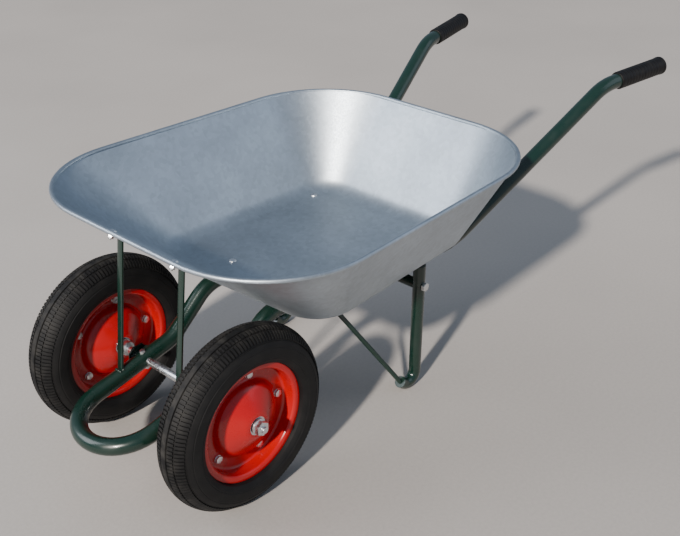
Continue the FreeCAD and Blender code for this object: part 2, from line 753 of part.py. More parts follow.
def legs():
    """Legs of thin tube that curl forward at the foot, each with a plate on its top."""
    radii = [value("foot_bend")] * 2
    bolt_hole = value("leg_bolt_d + 2 * bolt_clearance")
    for side_name, side in SIDES.items():
        corners = leg_corners(side)
        tube = tube_along(rounded_path(corners, radii), value("leg_d"), value("leg_wall"))
        hole = drill(leg_bolt_point(side), Vector(0, 1, 0), bolt_hole, value("2 * leg_d"))
        shaped(f"{side_name}_leg", tube.cut(hole))
        heading = (corners[0] - corners[1]).normalize()
        cap = Part.makeCylinder(value("leg_d / 2"), value("cap_thick"), corners[0], heading)
        shaped(f"{side_name}_leg_cap", cap)


def leg_cross_tube():
    """The tube between the legs, under the rails, with threaded inserts and its bolts."""
    left = leg_bolt_point(1)
    right = leg_bolt_point(-1)
    inner_d = value("cross_tube_d - 2 * cross_tube_wall")
    path = Part.Wire(Part.makeLine(right, left))
    tube = tube_along(path, value("cross_tube_d"), value("cross_tube_wall"))
    shaped("leg_cross_tube", middle_solid(without_legs(tube)))
    inserts = []
    bolts = []
    for side_name, side in SIDES.items():
        point = leg_bolt_point(side)
        inward = Vector(0, -side, 0)
        length = value("leg_d / 2 + insert_length")
        plug = without_legs(Part.makeCylinder(inner_d / 2, length, point, inward))
        plug = plug.cut(Part.makeCylinder(value("leg_bolt_d / 2"), length, point, inward))
        inserts.append(middle_solid(plug))
        bolt = hex_bolt(f"{side_name}_leg_bolt", "leg_hex", "leg_head", "leg_bolt_d", "(leg_d + insert_length)")
        turn = ALONG_Y if side > 0 else AGAINST_Y
        bolt.Placement = Placement(point - inward * value("leg_d / 2 + side_clearance"), turn)
        bolts.append(bolt)
    shaped("cross_tube_inserts", Part.makeCompound(inserts))
    keep(group("leg_bolts_group", bolts), "leg_bolts")


def middle_solid(shape):
    """The solid nearest to the middle plane."""
    return min(shape.Solids, key=lambda piece: abs(piece.CenterOfMass.y))


def leg_braces():
    """Rods welded from each foot's toe to the rail in front of it."""
    spread = value(RAIL_END_HALF) - value("arm_half_gap")
    share = value("(brace_top_behind - rail_knee_behind) / (rail_end_behind - rail_knee_behind)")
    for side_name, side in SIDES.items():
        heel, toe_corner, toe = leg_corners(side)[1:]
        top = at("-brace_top_behind", side * (value("arm_half_gap") + spread * share), RAIL_Z)
        rod = rod_along(Part.Wire(Part.makeLine(toe, top)), value("brace_d"))
        foot = rod_along(rounded_path(leg_corners(side), [value("foot_bend")] * 2), value("leg_d"))
        rail = rod_along(Part.Wire(Part.makeLine(*frame_corners(side)[2:4])), value("tube_d"))
        shaped(f"{side_name}_leg_brace", rod.cut([foot, rail]))


# ---------------------------------------------------------------- wheels

FLANGE_FACE = "rim_width / 2"
SEAT = "rim_seat_d / 2"


def round_wheel(side, angle, radius, offset):
    """A point of a wheel: angle from forwards, distance from the axle, offset from its middle plane."""
    turn = math.radians(angle)
    ahead = radius * math.cos(turn)
    height = value("wheel_d / 2") + radius * math.sin(turn)
    return Vector(value("axle_x") + ahead, side * value("track / 2") + offset, height)


def on_wheel(item, side, offset="0", turn=ALONG_Y):
    """Puts an object on a wheel's axis, at a formula's offset from the middle plane."""
    return place(item, "axle_x", f"{side} * track / 2 + {offset}", "wheel_d / 2", turn)


def valve_cylinder(name, side):
    """A valve stem's cylinder, from above the bead seat in towards the hub."""
    stem = solid("Cylinder", name, Radius="valve_d / 2", Height="valve_length")
    angle = value("valve_turn")
    start = round_wheel(side, angle, value("rim_seat_d / 2 + valve_root"), -value("valve_offset"))
    end = round_wheel(side, angle, 0, -value("valve_offset"))
    stem.Placement = Placement(start, Rotation(Vector(0, 0, 1), end - start))
    return stem


def rim_half(name):
    """One pressed half of a rim: flange, bead seat, flat bolt ring and dome."""
    body = turned_body(name, [
        ("rim_flange_d / 2", f"{FLANGE_FACE} - rim_sheet"),
        ("rim_flange_d / 2", FLANGE_FACE),
        (f"{SEAT} - rim_sheet", FLANGE_FACE),
        (f"{SEAT} - rim_sheet", "rim_sheet"),
        ("dome_foot_d / 2", "rim_sheet"),
        ("dome_knee_d / 2", "dome_knee_rise"),
        ("dome_nose_d / 2", "hub_length / 2"),
        ("hub_d / 2", "hub_length / 2"),
        ("hub_d / 2", "hub_length / 2 - rim_sheet"),
        ("dome_nose_d / 2 - rim_sheet", "hub_length / 2 - rim_sheet"),
        ("dome_knee_d / 2 - rim_sheet", "dome_knee_rise - rim_sheet"),
        ("dome_foot_d / 2 - rim_sheet", "0"),
        (SEAT, "0"),
        (SEAT, f"{FLANGE_FACE} - rim_sheet"),
    ])
    doc.recompute()
    sketch = sketch_on(body, "XY_Plane", name + "_bolt_hole")
    draw_circle(sketch, "rim_bolt_circle_d / 2", "0", "rim_bolt_d / 2")
    hole = body.newObject("PartDesign::Pocket", name + "_hole")
    hole.Profile = sketch
    hole.Type = "ThroughAll"
    hole.Midplane = True
    pattern = body.newObject("PartDesign::PolarPattern", name + "_holes")
    pattern.Originals = [hole]
    pattern.Axis = (sketch, ["N_Axis"])
    pattern.Angle = 360
    pattern.Occurrences = RIM_BOLTS
    body.Tip = pattern
    return body


def rim_bolts(side_name, side):
    """Five bolts with nuts that clamp the rim's halves together."""
    bolts = []
    nuts = []
    length = "(2 * rim_sheet + rim_nut + bolt_overhang)"
    for index in range(RIM_BOLTS):
        angle = value("rim_bolt_turn") + 360 / RIM_BOLTS * index
        name = f"{side_name}_rim_bolt_{index}"
        radius = value("rim_bolt_circle_d / 2")
        bolt = hex_bolt(name, "rim_hex", "rim_head", "rim_bolt_d", length)
        bolt.Placement = Placement(round_wheel(side, angle, radius, value("rim_sheet")), ALONG_Y)
        bolts.append(bolt)
        nut = hex_nut(name + "_nut", "rim_hex", "rim_nut", "rim_bolt_d")
        nut.Placement = Placement(round_wheel(side, angle, radius, -value("rim_sheet + rim_nut")), ALONG_Y)
        nuts.append(nut)
    keep(group(f"{side_name}_bolts_group", bolts), f"{side_name}_rim_bolts")
    keep(group(f"{side_name}_rim_nuts_group", nuts), f"{side_name}_rim_nuts")


def rim(side_name, side):
    """Two like pressings back to back. The valve passes the half that faces right."""
    turned = Rotation(Vector(0, 0, 1), value("rim_bolt_turn"))
    plain = on_wheel(rim_half(f"{side_name}_plain_pressing"), side, "0", ALONG_Y * turned.inverted())
    keep(plain, f"{side_name}_rim_plain_half")
    drilled = on_wheel(rim_half(f"{side_name}_valve_pressing"), side, "0", AGAINST_Y * turned)
    bore = valve_cylinder(f"{side_name}_valve_bore", side)
    keep(cut(f"{side_name}_drilled_pressing", drilled, bore), f"{side_name}_rim_valve_half")
    keep(valve_cylinder(f"{side_name}_valve_stem", side), f"{side_name}_valve")


def tyre(side_name, side):
    """A pneumatic tyre, open at its beads, and the inner tube in it."""
    middle = "(wheel_d - tyre_section_d) / 2"
    outside = solid("Torus", f"{side_name}_tyre_outside", Radius1=middle, Radius2="tyre_section_d / 2")
    inside = solid("Torus", f"{side_name}_tyre_inside", Radius1=middle,
                   Radius2="tyre_section_d / 2 - tyre_casing")
    seat = solid("Cylinder", f"{side_name}_tyre_seat", Radius=SEAT, Height="2 * tyre_section_d")
    opening = solid("Cylinder", f"{side_name}_tyre_opening", Radius=middle, Height="bead_gap")
    on_wheel(seat, side, "-tyre_section_d")
    on_wheel(opening, side, "-bead_gap / 2")
    tools = [on_wheel(inside, side), seat, opening]
    for flange, turn in (("1", ALONG_Y), ("-1", AGAINST_Y)):
        room = solid("Cylinder", f"{side_name}_flange_room", Radius="rim_flange_d / 2 + side_clearance",
                     Height="tyre_section_d")
        tools.append(on_wheel(room, side, f"{flange} * ({FLANGE_FACE} - rim_sheet)", turn))
    keep(cut(f"{side_name}_tyre_casing", on_wheel(outside, side), *tools), f"{side_name}_tyre")
    tube_radius = "tyre_section_d / 2 - tyre_casing - inner_tube_gap"
    skin = solid("Torus", f"{side_name}_tube_outside", Radius1=middle, Radius2=tube_radius)
    air = solid("Torus", f"{side_name}_tube_inside", Radius1=middle,
                Radius2=f"{tube_radius} - inner_tube_wall")
    tube = cut(f"{side_name}_tube_skin", on_wheel(skin, side), on_wheel(air, side))
    keep(tube, f"{side_name}_inner_tube")


def hub(side_name, side):
    """A hub tube with a bearing in each end that runs on the axle."""
    tube = ring(f"{side_name}_hub_tube", "hub_d", "bearing_d", "hub_length")
    keep(on_wheel(tube, side, "-hub_length / 2"), f"{side_name}_hub")
    bearings = []
    for end, start in (("outer", "hub_length / 2 - bearing_recess - bearing_width"),
                       ("inner", "-hub_length / 2 + bearing_recess")):
        bearing = ring(f"{side_name}_{end}_bearing", "bearing_d", "axle_d + 2 * running_clearance",
                       "bearing_width")
        bearings.append(on_wheel(bearing, side, f"({start})"))
    keep(group(f"{side_name}_bearings_group", bearings), f"{side_name}_bearings")


# ---------------------------------------------------------------- whole barrow

def build():
    frame_tubes()
    for side_name, side in SIDES.items():
        grip(f"{side_name}_grip", side)
    pan = tray()
    straps()
    tray_bolts(pan)
    struts()
    axle()
    axle_plates()
    axle_fittings()
    lock_bolts()
    legs()
    leg_cross_tube()
    leg_braces()
    for side_name, side in SIDES.items():
        tyre(side_name, side)
        rim(side_name, side)
        rim_bolts(side_name, side)
        hub(side_name, side)


def check():
    """Stops if any object failed or any sub-part has no sound shape."""
    doc.recompute()
    for item in doc.Objects:
        if {"Invalid", "Error"} & set(item.State):
            raise RuntimeError(f"{item.Name} failed: {item.State}")
    for item in nodes:
        if item.Shape.isNull() or not item.Shape.isValid() or not item.Shape.Solids:
            raise RuntimeError(f"{item.Label} has no sound solid")


def export():
    """Writes each sub-part to its own file."""
    os.makedirs(OUTPUT, exist_ok=True)
    for item in nodes:
        item.Shape.exportStep(f"{OUTPUT}/{item.Label}.step")


build()
check()
export()
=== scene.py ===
"""Looks of a two-wheeled garden wheelbarrow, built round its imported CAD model.

Pieces are shaped in millimetres from the point on the ground under the axle,
with +X forward, +Y left and +Z up, and are carried to the model's frame when they are done.
"""
import math

import bmesh
import bpy
from mathutils import Matrix, Vector


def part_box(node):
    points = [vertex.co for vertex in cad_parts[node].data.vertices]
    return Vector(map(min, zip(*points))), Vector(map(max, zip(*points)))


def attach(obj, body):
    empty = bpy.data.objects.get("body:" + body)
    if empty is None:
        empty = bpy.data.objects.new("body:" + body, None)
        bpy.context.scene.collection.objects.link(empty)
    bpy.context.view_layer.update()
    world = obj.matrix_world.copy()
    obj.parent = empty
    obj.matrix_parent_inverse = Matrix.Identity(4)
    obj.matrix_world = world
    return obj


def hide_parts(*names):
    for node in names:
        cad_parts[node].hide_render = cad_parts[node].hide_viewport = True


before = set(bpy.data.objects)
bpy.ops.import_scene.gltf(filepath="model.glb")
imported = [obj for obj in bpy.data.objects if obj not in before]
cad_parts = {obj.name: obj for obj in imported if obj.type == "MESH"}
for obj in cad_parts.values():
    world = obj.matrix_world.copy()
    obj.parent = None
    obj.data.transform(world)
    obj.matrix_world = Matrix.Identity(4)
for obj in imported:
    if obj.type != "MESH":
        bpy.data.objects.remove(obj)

bl_info = {
    "name": "Two-Wheeled Garden Wheelbarrow",
    "version": (1, 0, 0),
    "blender": (4, 5, 0),
    "location": "View3D > Sidebar > Wheelbarrow",
    "description": "Builds a garden wheelbarrow's pieces, finishes and studio round its CAD model",
    "category": "Add Mesh",
}

MM = 0.001
AXLE_LOW, AXLE_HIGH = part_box("axle")
AXLE_X = (AXLE_LOW.x + AXLE_HIGH.x) / 2
TO_MODEL = Matrix.Translation((AXLE_X, 0, 0)) @ Matrix.Scale(MM, 4)
SIDES = {"left": 1, "right": -1}

# Heights and places from the axle, shared by more than one piece.
AXLE_Z = 175.0
ARM_HALF = 83.0
RAIL_Z = 269.0
WHEEL_HALF = 187.0
TUBE_D = 32.0
LEG_D = 25.0
SHEET = 1.5
FLOOR_Z = 290.0
FLOOR_AHEAD = -165
FRONT_STRAP = -232
REAR_STRAP = -567
STRUT_THICK = 4
STRUT_FOOT = 57
STRUT_BEND = 22
BRACE_TOP = -292
BRACE_TOP_HALF = 89.07
TRAY_TAPER = math.tan(math.radians(2.62))
WALL_UP = Vector((243.5, 0, 197.5)).normalized()
WALL_OUT = Vector((WALL_UP.z, 0, -WALL_UP.x))
ARM_ANGLE = math.radians(11.5)
ARM_SLOPE = math.tan(ARM_ANGLE)
ARM_UP = Vector((math.sin(ARM_ANGLE), 0, math.cos(ARM_ANGLE)))

# Heads and nuts: across flats, then thickness of the nut.
M6_FLATS = 10
M8_FLATS = 13
LOCKNUT = 6.5
THREAD_OUT = 3


# ---------------------------------------------------------------- colours and nodes

def linear(colour):
    """An sRGB hex colour as linear red, green and blue."""
    parts = [int(colour[place:place + 2], 16) / 255 for place in (1, 3, 5)]
    return [part / 12.92 if part <= 0.04045 else ((part + 0.055) / 1.055) ** 2.4 for part in parts]


def rgba(colour):
    return (*colour[:3], 1.0)


def add(tree, kind, inputs=None, **settings):
    """Adds a shader node, with its settings and with values or other nodes' outputs on its inputs."""
    node = tree.nodes.new("ShaderNode" + kind)
    for name, setting in settings.items():
        setattr(node, name, setting)
    for name, source in (inputs or {}).items():
        if isinstance(source, bpy.types.Node):
            source = source.outputs[0]
        if isinstance(source, bpy.types.NodeSocket):
            tree.links.new(source, node.inputs[name])
        else:
            node.inputs[name].default_value = source
    return node


def new_material(name, **values):
    """A material and its tree, with plain values on the shader's own sockets."""
    material = bpy.data.materials.new(name)
    material.use_nodes = True
    tree = material.node_tree
    shader = tree.nodes["Principled BSDF"]
    for socket, number in values.items():
        shader.inputs[socket.replace("_", " ")].default_value = number
    return material, tree, shader


def colour_property(name, description, colour):
    return bpy.props.FloatVectorProperty(
        name=name, description=description, subtype="COLOR", size=3, min=0, max=1,
        default=linear(colour))


def size_property(name, description, millimetres):
    return bpy.props.FloatProperty(
        name=name, description=description, unit="LENGTH", subtype="DISTANCE", min=0.0001,
        default=millimetres * MM)


class BarrowSizes(bpy.types.PropertyGroup):
    """Sizes of the pieces that the CAD model leaves plain."""

    lug_depth: size_property("Lug depth", "Depth of the tread's grooves", 2.6)
    edge_wear: size_property("Edge round", "Round on the edges of bars and plates", 0.8)
    weld_d: size_property("Weld bead", "Thickness of the weld beads", 5.0)


class BarrowColours(bpy.types.PropertyGroup):
    """Colours of the finishes."""

    # Zinc grey plus a blue tint; the grey is the zinc's own colour, the blue tint is a painted reflection
    # of a blue sky.
    zinc_grey_and_sky_tint: colour_property("Galvanising", "Zinc coat of the tray", "#B6C0C9")
    green: colour_property("Green enamel", "Enamel of the frame", "#0A251D")
    red: colour_property("Red enamel", "Enamel of the rims", "#AE0209")
    plate: colour_property("Zinc plate", "Plating of the bolts, nuts and axle", "#E4E6E8")
    rubber: colour_property("Tyre rubber", "Rubber of the tyres", "#0B0B0C")
    dust: colour_property("Dust", "Dry dust on the tread and low parts", "#5B5853")
    grip: colour_property("Grip", "Plastic of the handle grips", "#0B0909")
    floor: colour_property("Floor", "Pale concrete of the studio floor", "#AAA5A0")


# ---------------------------------------------------------------- materials

def per_metre(millimetres):
    """A texture's scale whose pattern repeats at about a size in millimetres."""
    return 1 / (millimetres * MM)


def galvanised_steel(colours):
    """Hot-dip galvanised sheet: a grey satin metal with a painted blue sky reflection in its tint, whose
    faint zinc crystals catch light unequally.
    """
    material, tree, shader = new_material("galvanised_steel", Metallic=1.0, Roughness=0.4)
    place = add(tree, "TexCoord").outputs["Object"]
    crystals = add(tree, "TexVoronoi", {"Vector": place, "Scale": per_metre(9)}, feature="F1")
    grain = add(tree, "TexNoise", {"Vector": place, "Scale": per_metre(3.5), "Detail": 4.0})
    clouds = add(tree, "TexNoise", {"Vector": place, "Scale": per_metre(130), "Detail": 3.0})
    tone = add(tree, "MapRange", {"Value": crystals.outputs["Color"], "To Min": 0.9, "To Max": 1.05})
    weather = add(tree, "MapRange", {"Value": clouds, "From Min": 0.3, "From Max": 0.7,
                                     "To Min": 0.86, "To Max": 1.04})
    shade = add(tree, "Math", {0: tone, 1: weather}, operation="MULTIPLY")
    # The base colour carries the zinc grey and the painted blue sky reflection of its tint.
    coat = add(tree, "VectorMath", {0: colours.zinc_grey_and_sky_tint, "Scale": shade}, operation="SCALE")
    tree.links.new(coat.outputs[0], shader.inputs["Base Color"])
    gloss = add(tree, "MapRange", {"Value": grain, "From Min": 0.3, "From Max": 0.7,
                                   "To Min": 0.42, "To Max": 0.5})
    tree.links.new(gloss.outputs[0], shader.inputs["Roughness"])
    buckle = add(tree, "TexNoise", {"Vector": place, "Scale": per_metre(160), "Detail": 1.0})
    broad = add(tree, "Bump", {"Height": buckle, "Strength": 0.35, "Distance": 0.006})
    fine = add(tree, "Bump", {"Height": grain, "Strength": 0.12, "Distance": 0.0004, "Normal": broad})
    tree.links.new(fine.outputs[0], shader.inputs["Normal"])
    return material


def enamel(name, colour, dust, **values):
    """Stoved gloss enamel: a deep even colour under a bright rippled skin, with a little dust."""
    material, tree, shader = new_material(name, **values)
    place = add(tree, "TexCoord").outputs["Object"]
    flow = add(tree, "TexNoise", {"Vector": place, "Scale": per_metre(14), "Detail": 3.0})
    patches = add(tree, "TexNoise", {"Vector": place, "Scale": per_metre(45), "Detail": 6.0})
    film = add(tree, "MapRange", {"Value": patches, "From Min": 0.52, "From Max": 0.8,
                                  "To Min": 0.0, "To Max": 0.05})
    mixed = add(tree, "Mix", {0: film, 6: rgba(colour), 7: rgba(dust)}, data_type="RGBA")
    tree.links.new(mixed.outputs[2], shader.inputs["Base Color"])
    gloss = add(tree, "MapRange", {"Value": patches, "From Min": 0.35, "From Max": 0.75,
                                   "To Min": 0.2, "To Max": 0.42})
    tree.links.new(gloss.outputs[0], shader.inputs["Roughness"])
    ripple = add(tree, "Bump", {"Height": flow, "Strength": 0.15, "Distance": 0.0006})
    tree.links.new(ripple.outputs[0], shader.inputs["Normal"])
    return material


def zinc_plate(colours):
    """Bright zinc plate on turned and forged steel: a light metal with a slightly cloudy shine."""
    material, tree, shader = new_material("zinc_plate", Metallic=1.0, Roughness=0.3)
    place = add(tree, "TexCoord").outputs["Object"]
    clouds = add(tree, "TexNoise", {"Vector": place, "Scale": per_metre(6), "Detail": 5.0})
    shade = add(tree, "MapRange", {"Value": clouds, "From Min": 0.3, "From Max": 0.7,
                                   "To Min": 0.85, "To Max": 1.0})
    coat = add(tree, "VectorMath", {0: colours.plate, "Scale": shade}, operation="SCALE")
    tree.links.new(coat.outputs[0], shader.inputs["Base Color"])
    gloss = add(tree, "MapRange", {"Value": clouds, "From Min": 0.3, "From Max": 0.7,
                                   "To Min": 0.22, "To Max": 0.4})
    tree.links.new(gloss.outputs[0], shader.inputs["Roughness"])
    return material


def bearing_steel():
    """Ground bearing steel: a darker metal with fine wear."""
    material, tree, shader = new_material("bearing_steel", Metallic=1.0)
    place = add(tree, "TexCoord").outputs["Object"]
    wear = add(tree, "TexNoise", {"Vector": place, "Scale": per_metre(4), "Detail": 4.0})
    gloss = add(tree, "MapRange", {"Value": wear, "To Min": 0.2, "To Max": 0.45})
    tree.links.new(gloss.outputs[0], shader.inputs["Roughness"])
    tint = add(tree, "MapRange", {"Value": wear, "To Min": 0.35, "To Max": 0.5})
    metal = add(tree, "VectorMath", {0: linear("#DADDE2"), "Scale": tint}, operation="SCALE")
    tree.links.new(metal.outputs[0], shader.inputs["Base Color"])
    return material


def tyre_rubber(colours):
    """Vulcanised black rubber: matt, with grey-brown dust on the tread that thins down the walls."""
    material, tree, shader = new_material("tyre_rubber", Roughness=0.7, Specular_IOR_Level=0.3)
    place = add(tree, "TexCoord").outputs["Object"]
    from_axle = add(tree, "Mapping", {"Vector": place, "Location": (-AXLE_X, 0, -AXLE_Z * MM),
                                      "Scale": (1, 0, 1)}, vector_type="POINT")
    radius = add(tree, "VectorMath", {0: from_axle}, operation="LENGTH")
    tread = add(tree, "MapRange", {"Value": radius.outputs["Value"], "From Min": 160 * MM,
                                   "From Max": AXLE_Z * MM, "To Min": 0.04, "To Max": 0.24})
    patches = add(tree, "TexNoise", {"Vector": place, "Scale": per_metre(22), "Detail": 7.0})
    settled = add(tree, "MapRange", {"Value": patches, "From Min": 0.42, "From Max": 0.72})
    film = add(tree, "Math", {0: tread, 1: settled}, operation="MULTIPLY")
    mixed = add(tree, "Mix", {0: film, 6: rgba(colours.rubber), 7: rgba(colours.dust)}, data_type="RGBA")
    tree.links.new(mixed.outputs[2], shader.inputs["Base Color"])
    gloss = add(tree, "MapRange", {"Value": film, "To Min": 0.66, "To Max": 0.95})
    tree.links.new(gloss.outputs[0], shader.inputs["Roughness"])
    grain = add(tree, "TexNoise", {"Vector": place, "Scale": per_metre(1.8), "Detail": 3.0})
    skin = add(tree, "Bump", {"Height": grain, "Strength": 0.3, "Distance": 0.0003})
    tree.links.new(skin.outputs[0], shader.inputs["Normal"])
    return material


def moulded_plastic(name, colour, dust):
    """Soft black PVC or rubber, moulded: near black, half matt, with a fine pebbled skin."""
    material, tree, shader = new_material(name, Roughness=0.5, Specular_IOR_Level=0.3)
    place = add(tree, "TexCoord").outputs["Object"]
    pebbles = add(tree, "TexNoise", {"Vector": place, "Scale": per_metre(2.2), "Detail": 3.0})
    patches = add(tree, "TexNoise", {"Vector": place, "Scale": per_metre(18), "Detail": 5.0})
    film = add(tree, "MapRange", {"Value": patches, "From Min": 0.5, "From Max": 0.8, "To Max": 0.1})
    mixed = add(tree, "Mix", {0: film, 6: rgba(colour), 7: rgba(dust)}, data_type="RGBA")
    tree.links.new(mixed.outputs[2], shader.inputs["Base Color"])
    gloss = add(tree, "MapRange", {"Value": patches, "To Min": 0.4, "To Max": 0.65})
    tree.links.new(gloss.outputs[0], shader.inputs["Roughness"])
    skin = add(tree, "Bump", {"Height": pebbles, "Strength": 0.3, "Distance": 0.0004})
    tree.links.new(skin.outputs[0], shader.inputs["Normal"])
    return material


def floated_concrete(colours):
    """Steel-floated concrete: pale and dry, with soft clouds and fine sand."""
    material, tree, shader = new_material("floated_concrete", Roughness=0.85)
    place = add(tree, "TexCoord").outputs["Object"]
    clouds = add(tree, "TexNoise", {"Vector": place, "Scale": per_metre(900), "Detail": 5.0})
    sand = add(tree, "TexNoise", {"Vector": place, "Scale": per_metre(7), "Detail": 3.0})
    broad = add(tree, "MapRange", {"Value": clouds, "From Min": 0.3, "From Max": 0.7,
                                   "To Min": 0.93, "To Max": 1.05})
    fine = add(tree, "MapRange", {"Value": sand, "From Min": 0.3, "From Max": 0.7,
                                  "To Min": 0.96, "To Max": 1.03})
    shade = add(tree, "Math", {0: broad, 1: fine}, operation="MULTIPLY")
    tone = add(tree, "VectorMath", {0: colours.floor, "Scale": shade}, operation="SCALE")
    tree.links.new(tone.outputs[0], shader.inputs["Base Color"])
    tooth = add(tree, "Bump", {"Height": sand, "Strength": 0.25, "Distance": 0.0008})
    tree.links.new(tooth.outputs[0], shader.inputs["Normal"])
    return material


def finish(name):
    """A material by its name, made the first time it is asked for."""
    colours = bpy.context.scene.barrow_colours
    if name not in bpy.data.materials:
        makers = {
            "galvanised_steel": lambda: galvanised_steel(colours),
            "green_enamel": lambda: enamel("green_enamel", colours.green, colours.dust,
                                           Roughness=0.28, Coat_Weight=0.4, Coat_Roughness=0.12),
            "red_enamel": lambda: enamel("red_enamel", colours.red, colours.dust,
                                         Roughness=0.32, Coat_Weight=0.2, Coat_Roughness=0.12),
            "zinc_plate": lambda: zinc_plate(colours),
            "bearing_steel": bearing_steel,
            "grip_plastic": lambda: moulded_plastic("grip_plastic", colours.grip, colours.dust),
            "tyre_rubber": lambda: tyre_rubber(colours),
            "soft_rubber": lambda: moulded_plastic("soft_rubber", colours.rubber, colours.dust),
            "floated_concrete": lambda: floated_concrete(colours),
        }
        makers[name]()
    return bpy.data.materials[name]


# The material that each slot of the record is drawn with.
SLOTS = {
    "galvanised": "galvanised_steel",
    "frame_green": "green_enamel",
    "rim_red": "red_enamel",
    "zinc": "zinc_plate",
    "bearing_steel": "bearing_steel",
    "grip_black": "grip_plastic",
    "tyre_black": "tyre_rubber",
    "rubber_black": "soft_rubber",
}


# ---------------------------------------------------------------- shaping

def facing(point, direction):
    """A matrix that carries the origin to a point and +Z to a direction."""
    return Matrix.Translation(point) @ Vector(direction).to_track_quat("Z", "Y").to_matrix().to_4x4()


def keep_piece(name, bm, slot, body, replaced, sharp=32):
    """Closes a shape into a finished piece that rides on a body and stands for CAD nodes."""
    bmesh.ops.remove_doubles(bm, verts=bm.verts, dist=0.004)
    bmesh.ops.recalc_face_normals(bm, faces=bm.faces)
    bmesh.ops.transform(bm, matrix=TO_MODEL, verts=bm.verts)
    mesh = bpy.data.meshes.new(name)
    bm.to_mesh(mesh)
    bm.free()
    mesh.shade_smooth()
    mesh.set_sharp_from_angle(angle=math.radians(sharp))
    mesh.materials.append(finish(SLOTS[slot]))
    piece = bpy.data.objects.new(name, mesh)
    bpy.context.scene.collection.objects.link(piece)
    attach(piece, body)
    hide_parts(*replaced)


def new_parts(bm, before):
    """The vertices and edges that a shape gained since a set of its vertices was taken."""
    verts = [vert for vert in bm.verts if vert not in before]
    edges = list(dict.fromkeys(edge for vert in verts for edge in vert.link_edges))
    return verts, edges


def round_corner(bm, corner, radius, segments=4):
    """Rounds one corner of a line of edges."""
    bmesh.ops.bevel(bm, geom=[corner], offset=radius, affect="VERTICES", segments=segments,
                    profile=0.5, material=-1)


def draw(bm, points, closed=False, segments=4):
    """A line of edges through points, each with its own corner radius after its coordinates."""
    before = set(bm.verts)
    verts = [bm.verts.new(point[:3]) for point in points]
    for start, end in zip(verts, verts[1:] + verts[:1] if closed else verts[1:]):
        bm.edges.new((start, end))
    for vert, point in zip(verts, points):
        if point[3]:
            round_corner(bm, vert, point[3], segments)
    return new_parts(bm, before)


def turned(bm, place, profile, steps=32, closed=False):
    """Spins a profile of radius, height and corner radius about Z and carries it to its place."""
    before = set(bm.verts)
    verts, edges = draw(bm, [(radius, 0, height, soft) for radius, height, soft in profile], closed)
    bmesh.ops.spin(bm, geom=verts + edges, cent=(0, 0, 0), axis=(0, 0, 1), angle=math.tau, steps=steps,
                   use_merge=True)
    verts, _ = new_parts(bm, before)
    bmesh.ops.transform(bm, matrix=place, verts=verts)


def disc(bm, place, diameter, thick, bore=0.0, soft=0.5, steps=32):
    """A washer, collar or cap with rounded edges that stands on its place."""
    outer = diameter / 2
    inner = bore / 2
    corners = [(inner, 0, 0), (outer, 0, soft), (outer, thick, soft), (inner, thick, 0)]
    turned(bm, place, corners, steps, closed=bore > 0)


def hexagon(bm, place, flats, height, soft=0.5):
    """A hexagonal head or nut with a chamfered top that stands on its place."""
    radius = flats / math.sqrt(3)
    made = bmesh.ops.create_cone(bm, cap_ends=True, segments=6, radius1=radius, radius2=radius,
                                 depth=height, matrix=place @ Matrix.Translation((0, 0, height / 2)))
    up = place.to_3x3() @ Vector((0, 0, 1))
    middle = place @ Vector((0, 0, height / 2))
    top = [edge for edge in loop_edges(made["verts"])
           if all((end.co - middle).dot(up) > 0 for end in edge.verts)]
    bmesh.ops.bevel(bm, geom=top, offset=soft, affect="EDGES", segments=2, profile=0.5,
                    material=-1)


def stud(bm, place, diameter, length):
    """A bolt's end with a chamfer and thread ridges."""
    radius = diameter / 2
    pitch = diameter * 0.16
    chamfer = 0.8
    profile = [(0, 0, 0)]
    height = 0.0
    while height + pitch < length - chamfer:
        profile += [(radius, height, 0), (radius - pitch * 0.4, height + pitch / 2, 0)]
        height += pitch
    profile += [(radius, height, 0), (radius - chamfer, length, 0), (0, length, 0)]
    turned(bm, place, profile, 20)


def weld(bm, start, end, thick):
    """A weld bead between two points, laid as overlapping ripples that are uneven by a tenth."""
    start, end = Vector(start), Vector(end)
    ripples = max(2, round((end - start).length / (thick * 0.36)))
    for ripple in range(ripples + 1):
        swell = 1 + 0.1 * math.sin(ripple * 2.1)
        place = Matrix.Translation(start.lerp(end, ripple / ripples)) @ Matrix.Scale(swell, 4)
        bmesh.ops.create_icosphere(bm, subdivisions=2, radius=thick / 2, matrix=place)


def weld_across(bm, ahead, half, reach, height, thick):
    """A weld bead along Y that reaches to both sides of its middle."""
    weld(bm, (ahead, half - reach, height), (ahead, half + reach, height), thick)


def loop_edges(verts):
    """The edges that run between the vertices of a loop, each once and in the same order on every run."""
    chosen = set(verts)
    return list(dict.fromkeys(edge for vert in verts for edge in vert.link_edges
                              if edge.other_vert(vert) in chosen))


def pushed(bm, verts, step):
    """Pulls a loop of edges straight by a step, with a wall behind it."""
    grown = bmesh.ops.extrude_edge_only(bm, edges=loop_edges(verts))["geom"]
    ends = [item for item in grown if isinstance(item, bmesh.types.BMVert)]
    bmesh.ops.translate(bm, vec=step, verts=ends)
    return ends


def bent_along(bm, verts, points, radii, steps=10):
    """Draws a loop of vertices along a line of points, with a bend of its own radius at each corner."""
    here = Vector(points[0])
    for index in range(1, len(points) - 1):
        corner = Vector(points[index])
        back = (here - corner).normalized()
        ahead = (Vector(points[index + 1]) - corner).normalized()
        half_turn = (math.pi - back.angle(ahead)) / 2
        reach = radii[index - 1] * math.tan(half_turn)
        verts = pushed(bm, verts, corner + back * reach - here)
        centre = corner + (back + ahead).normalized() * (radii[index - 1] / math.cos(half_turn))
        turn = bmesh.ops.spin(bm, geom=verts + loop_edges(verts), cent=centre, axis=(-back).cross(ahead),
                              angle=2 * half_turn, steps=steps, use_merge=False)
        verts = [item for item in turn["geom_last"] if isinstance(item, bmesh.types.BMVert)]
        here = corner + ahead * reach
    return pushed(bm, verts, Vector(points[-1]) - here)


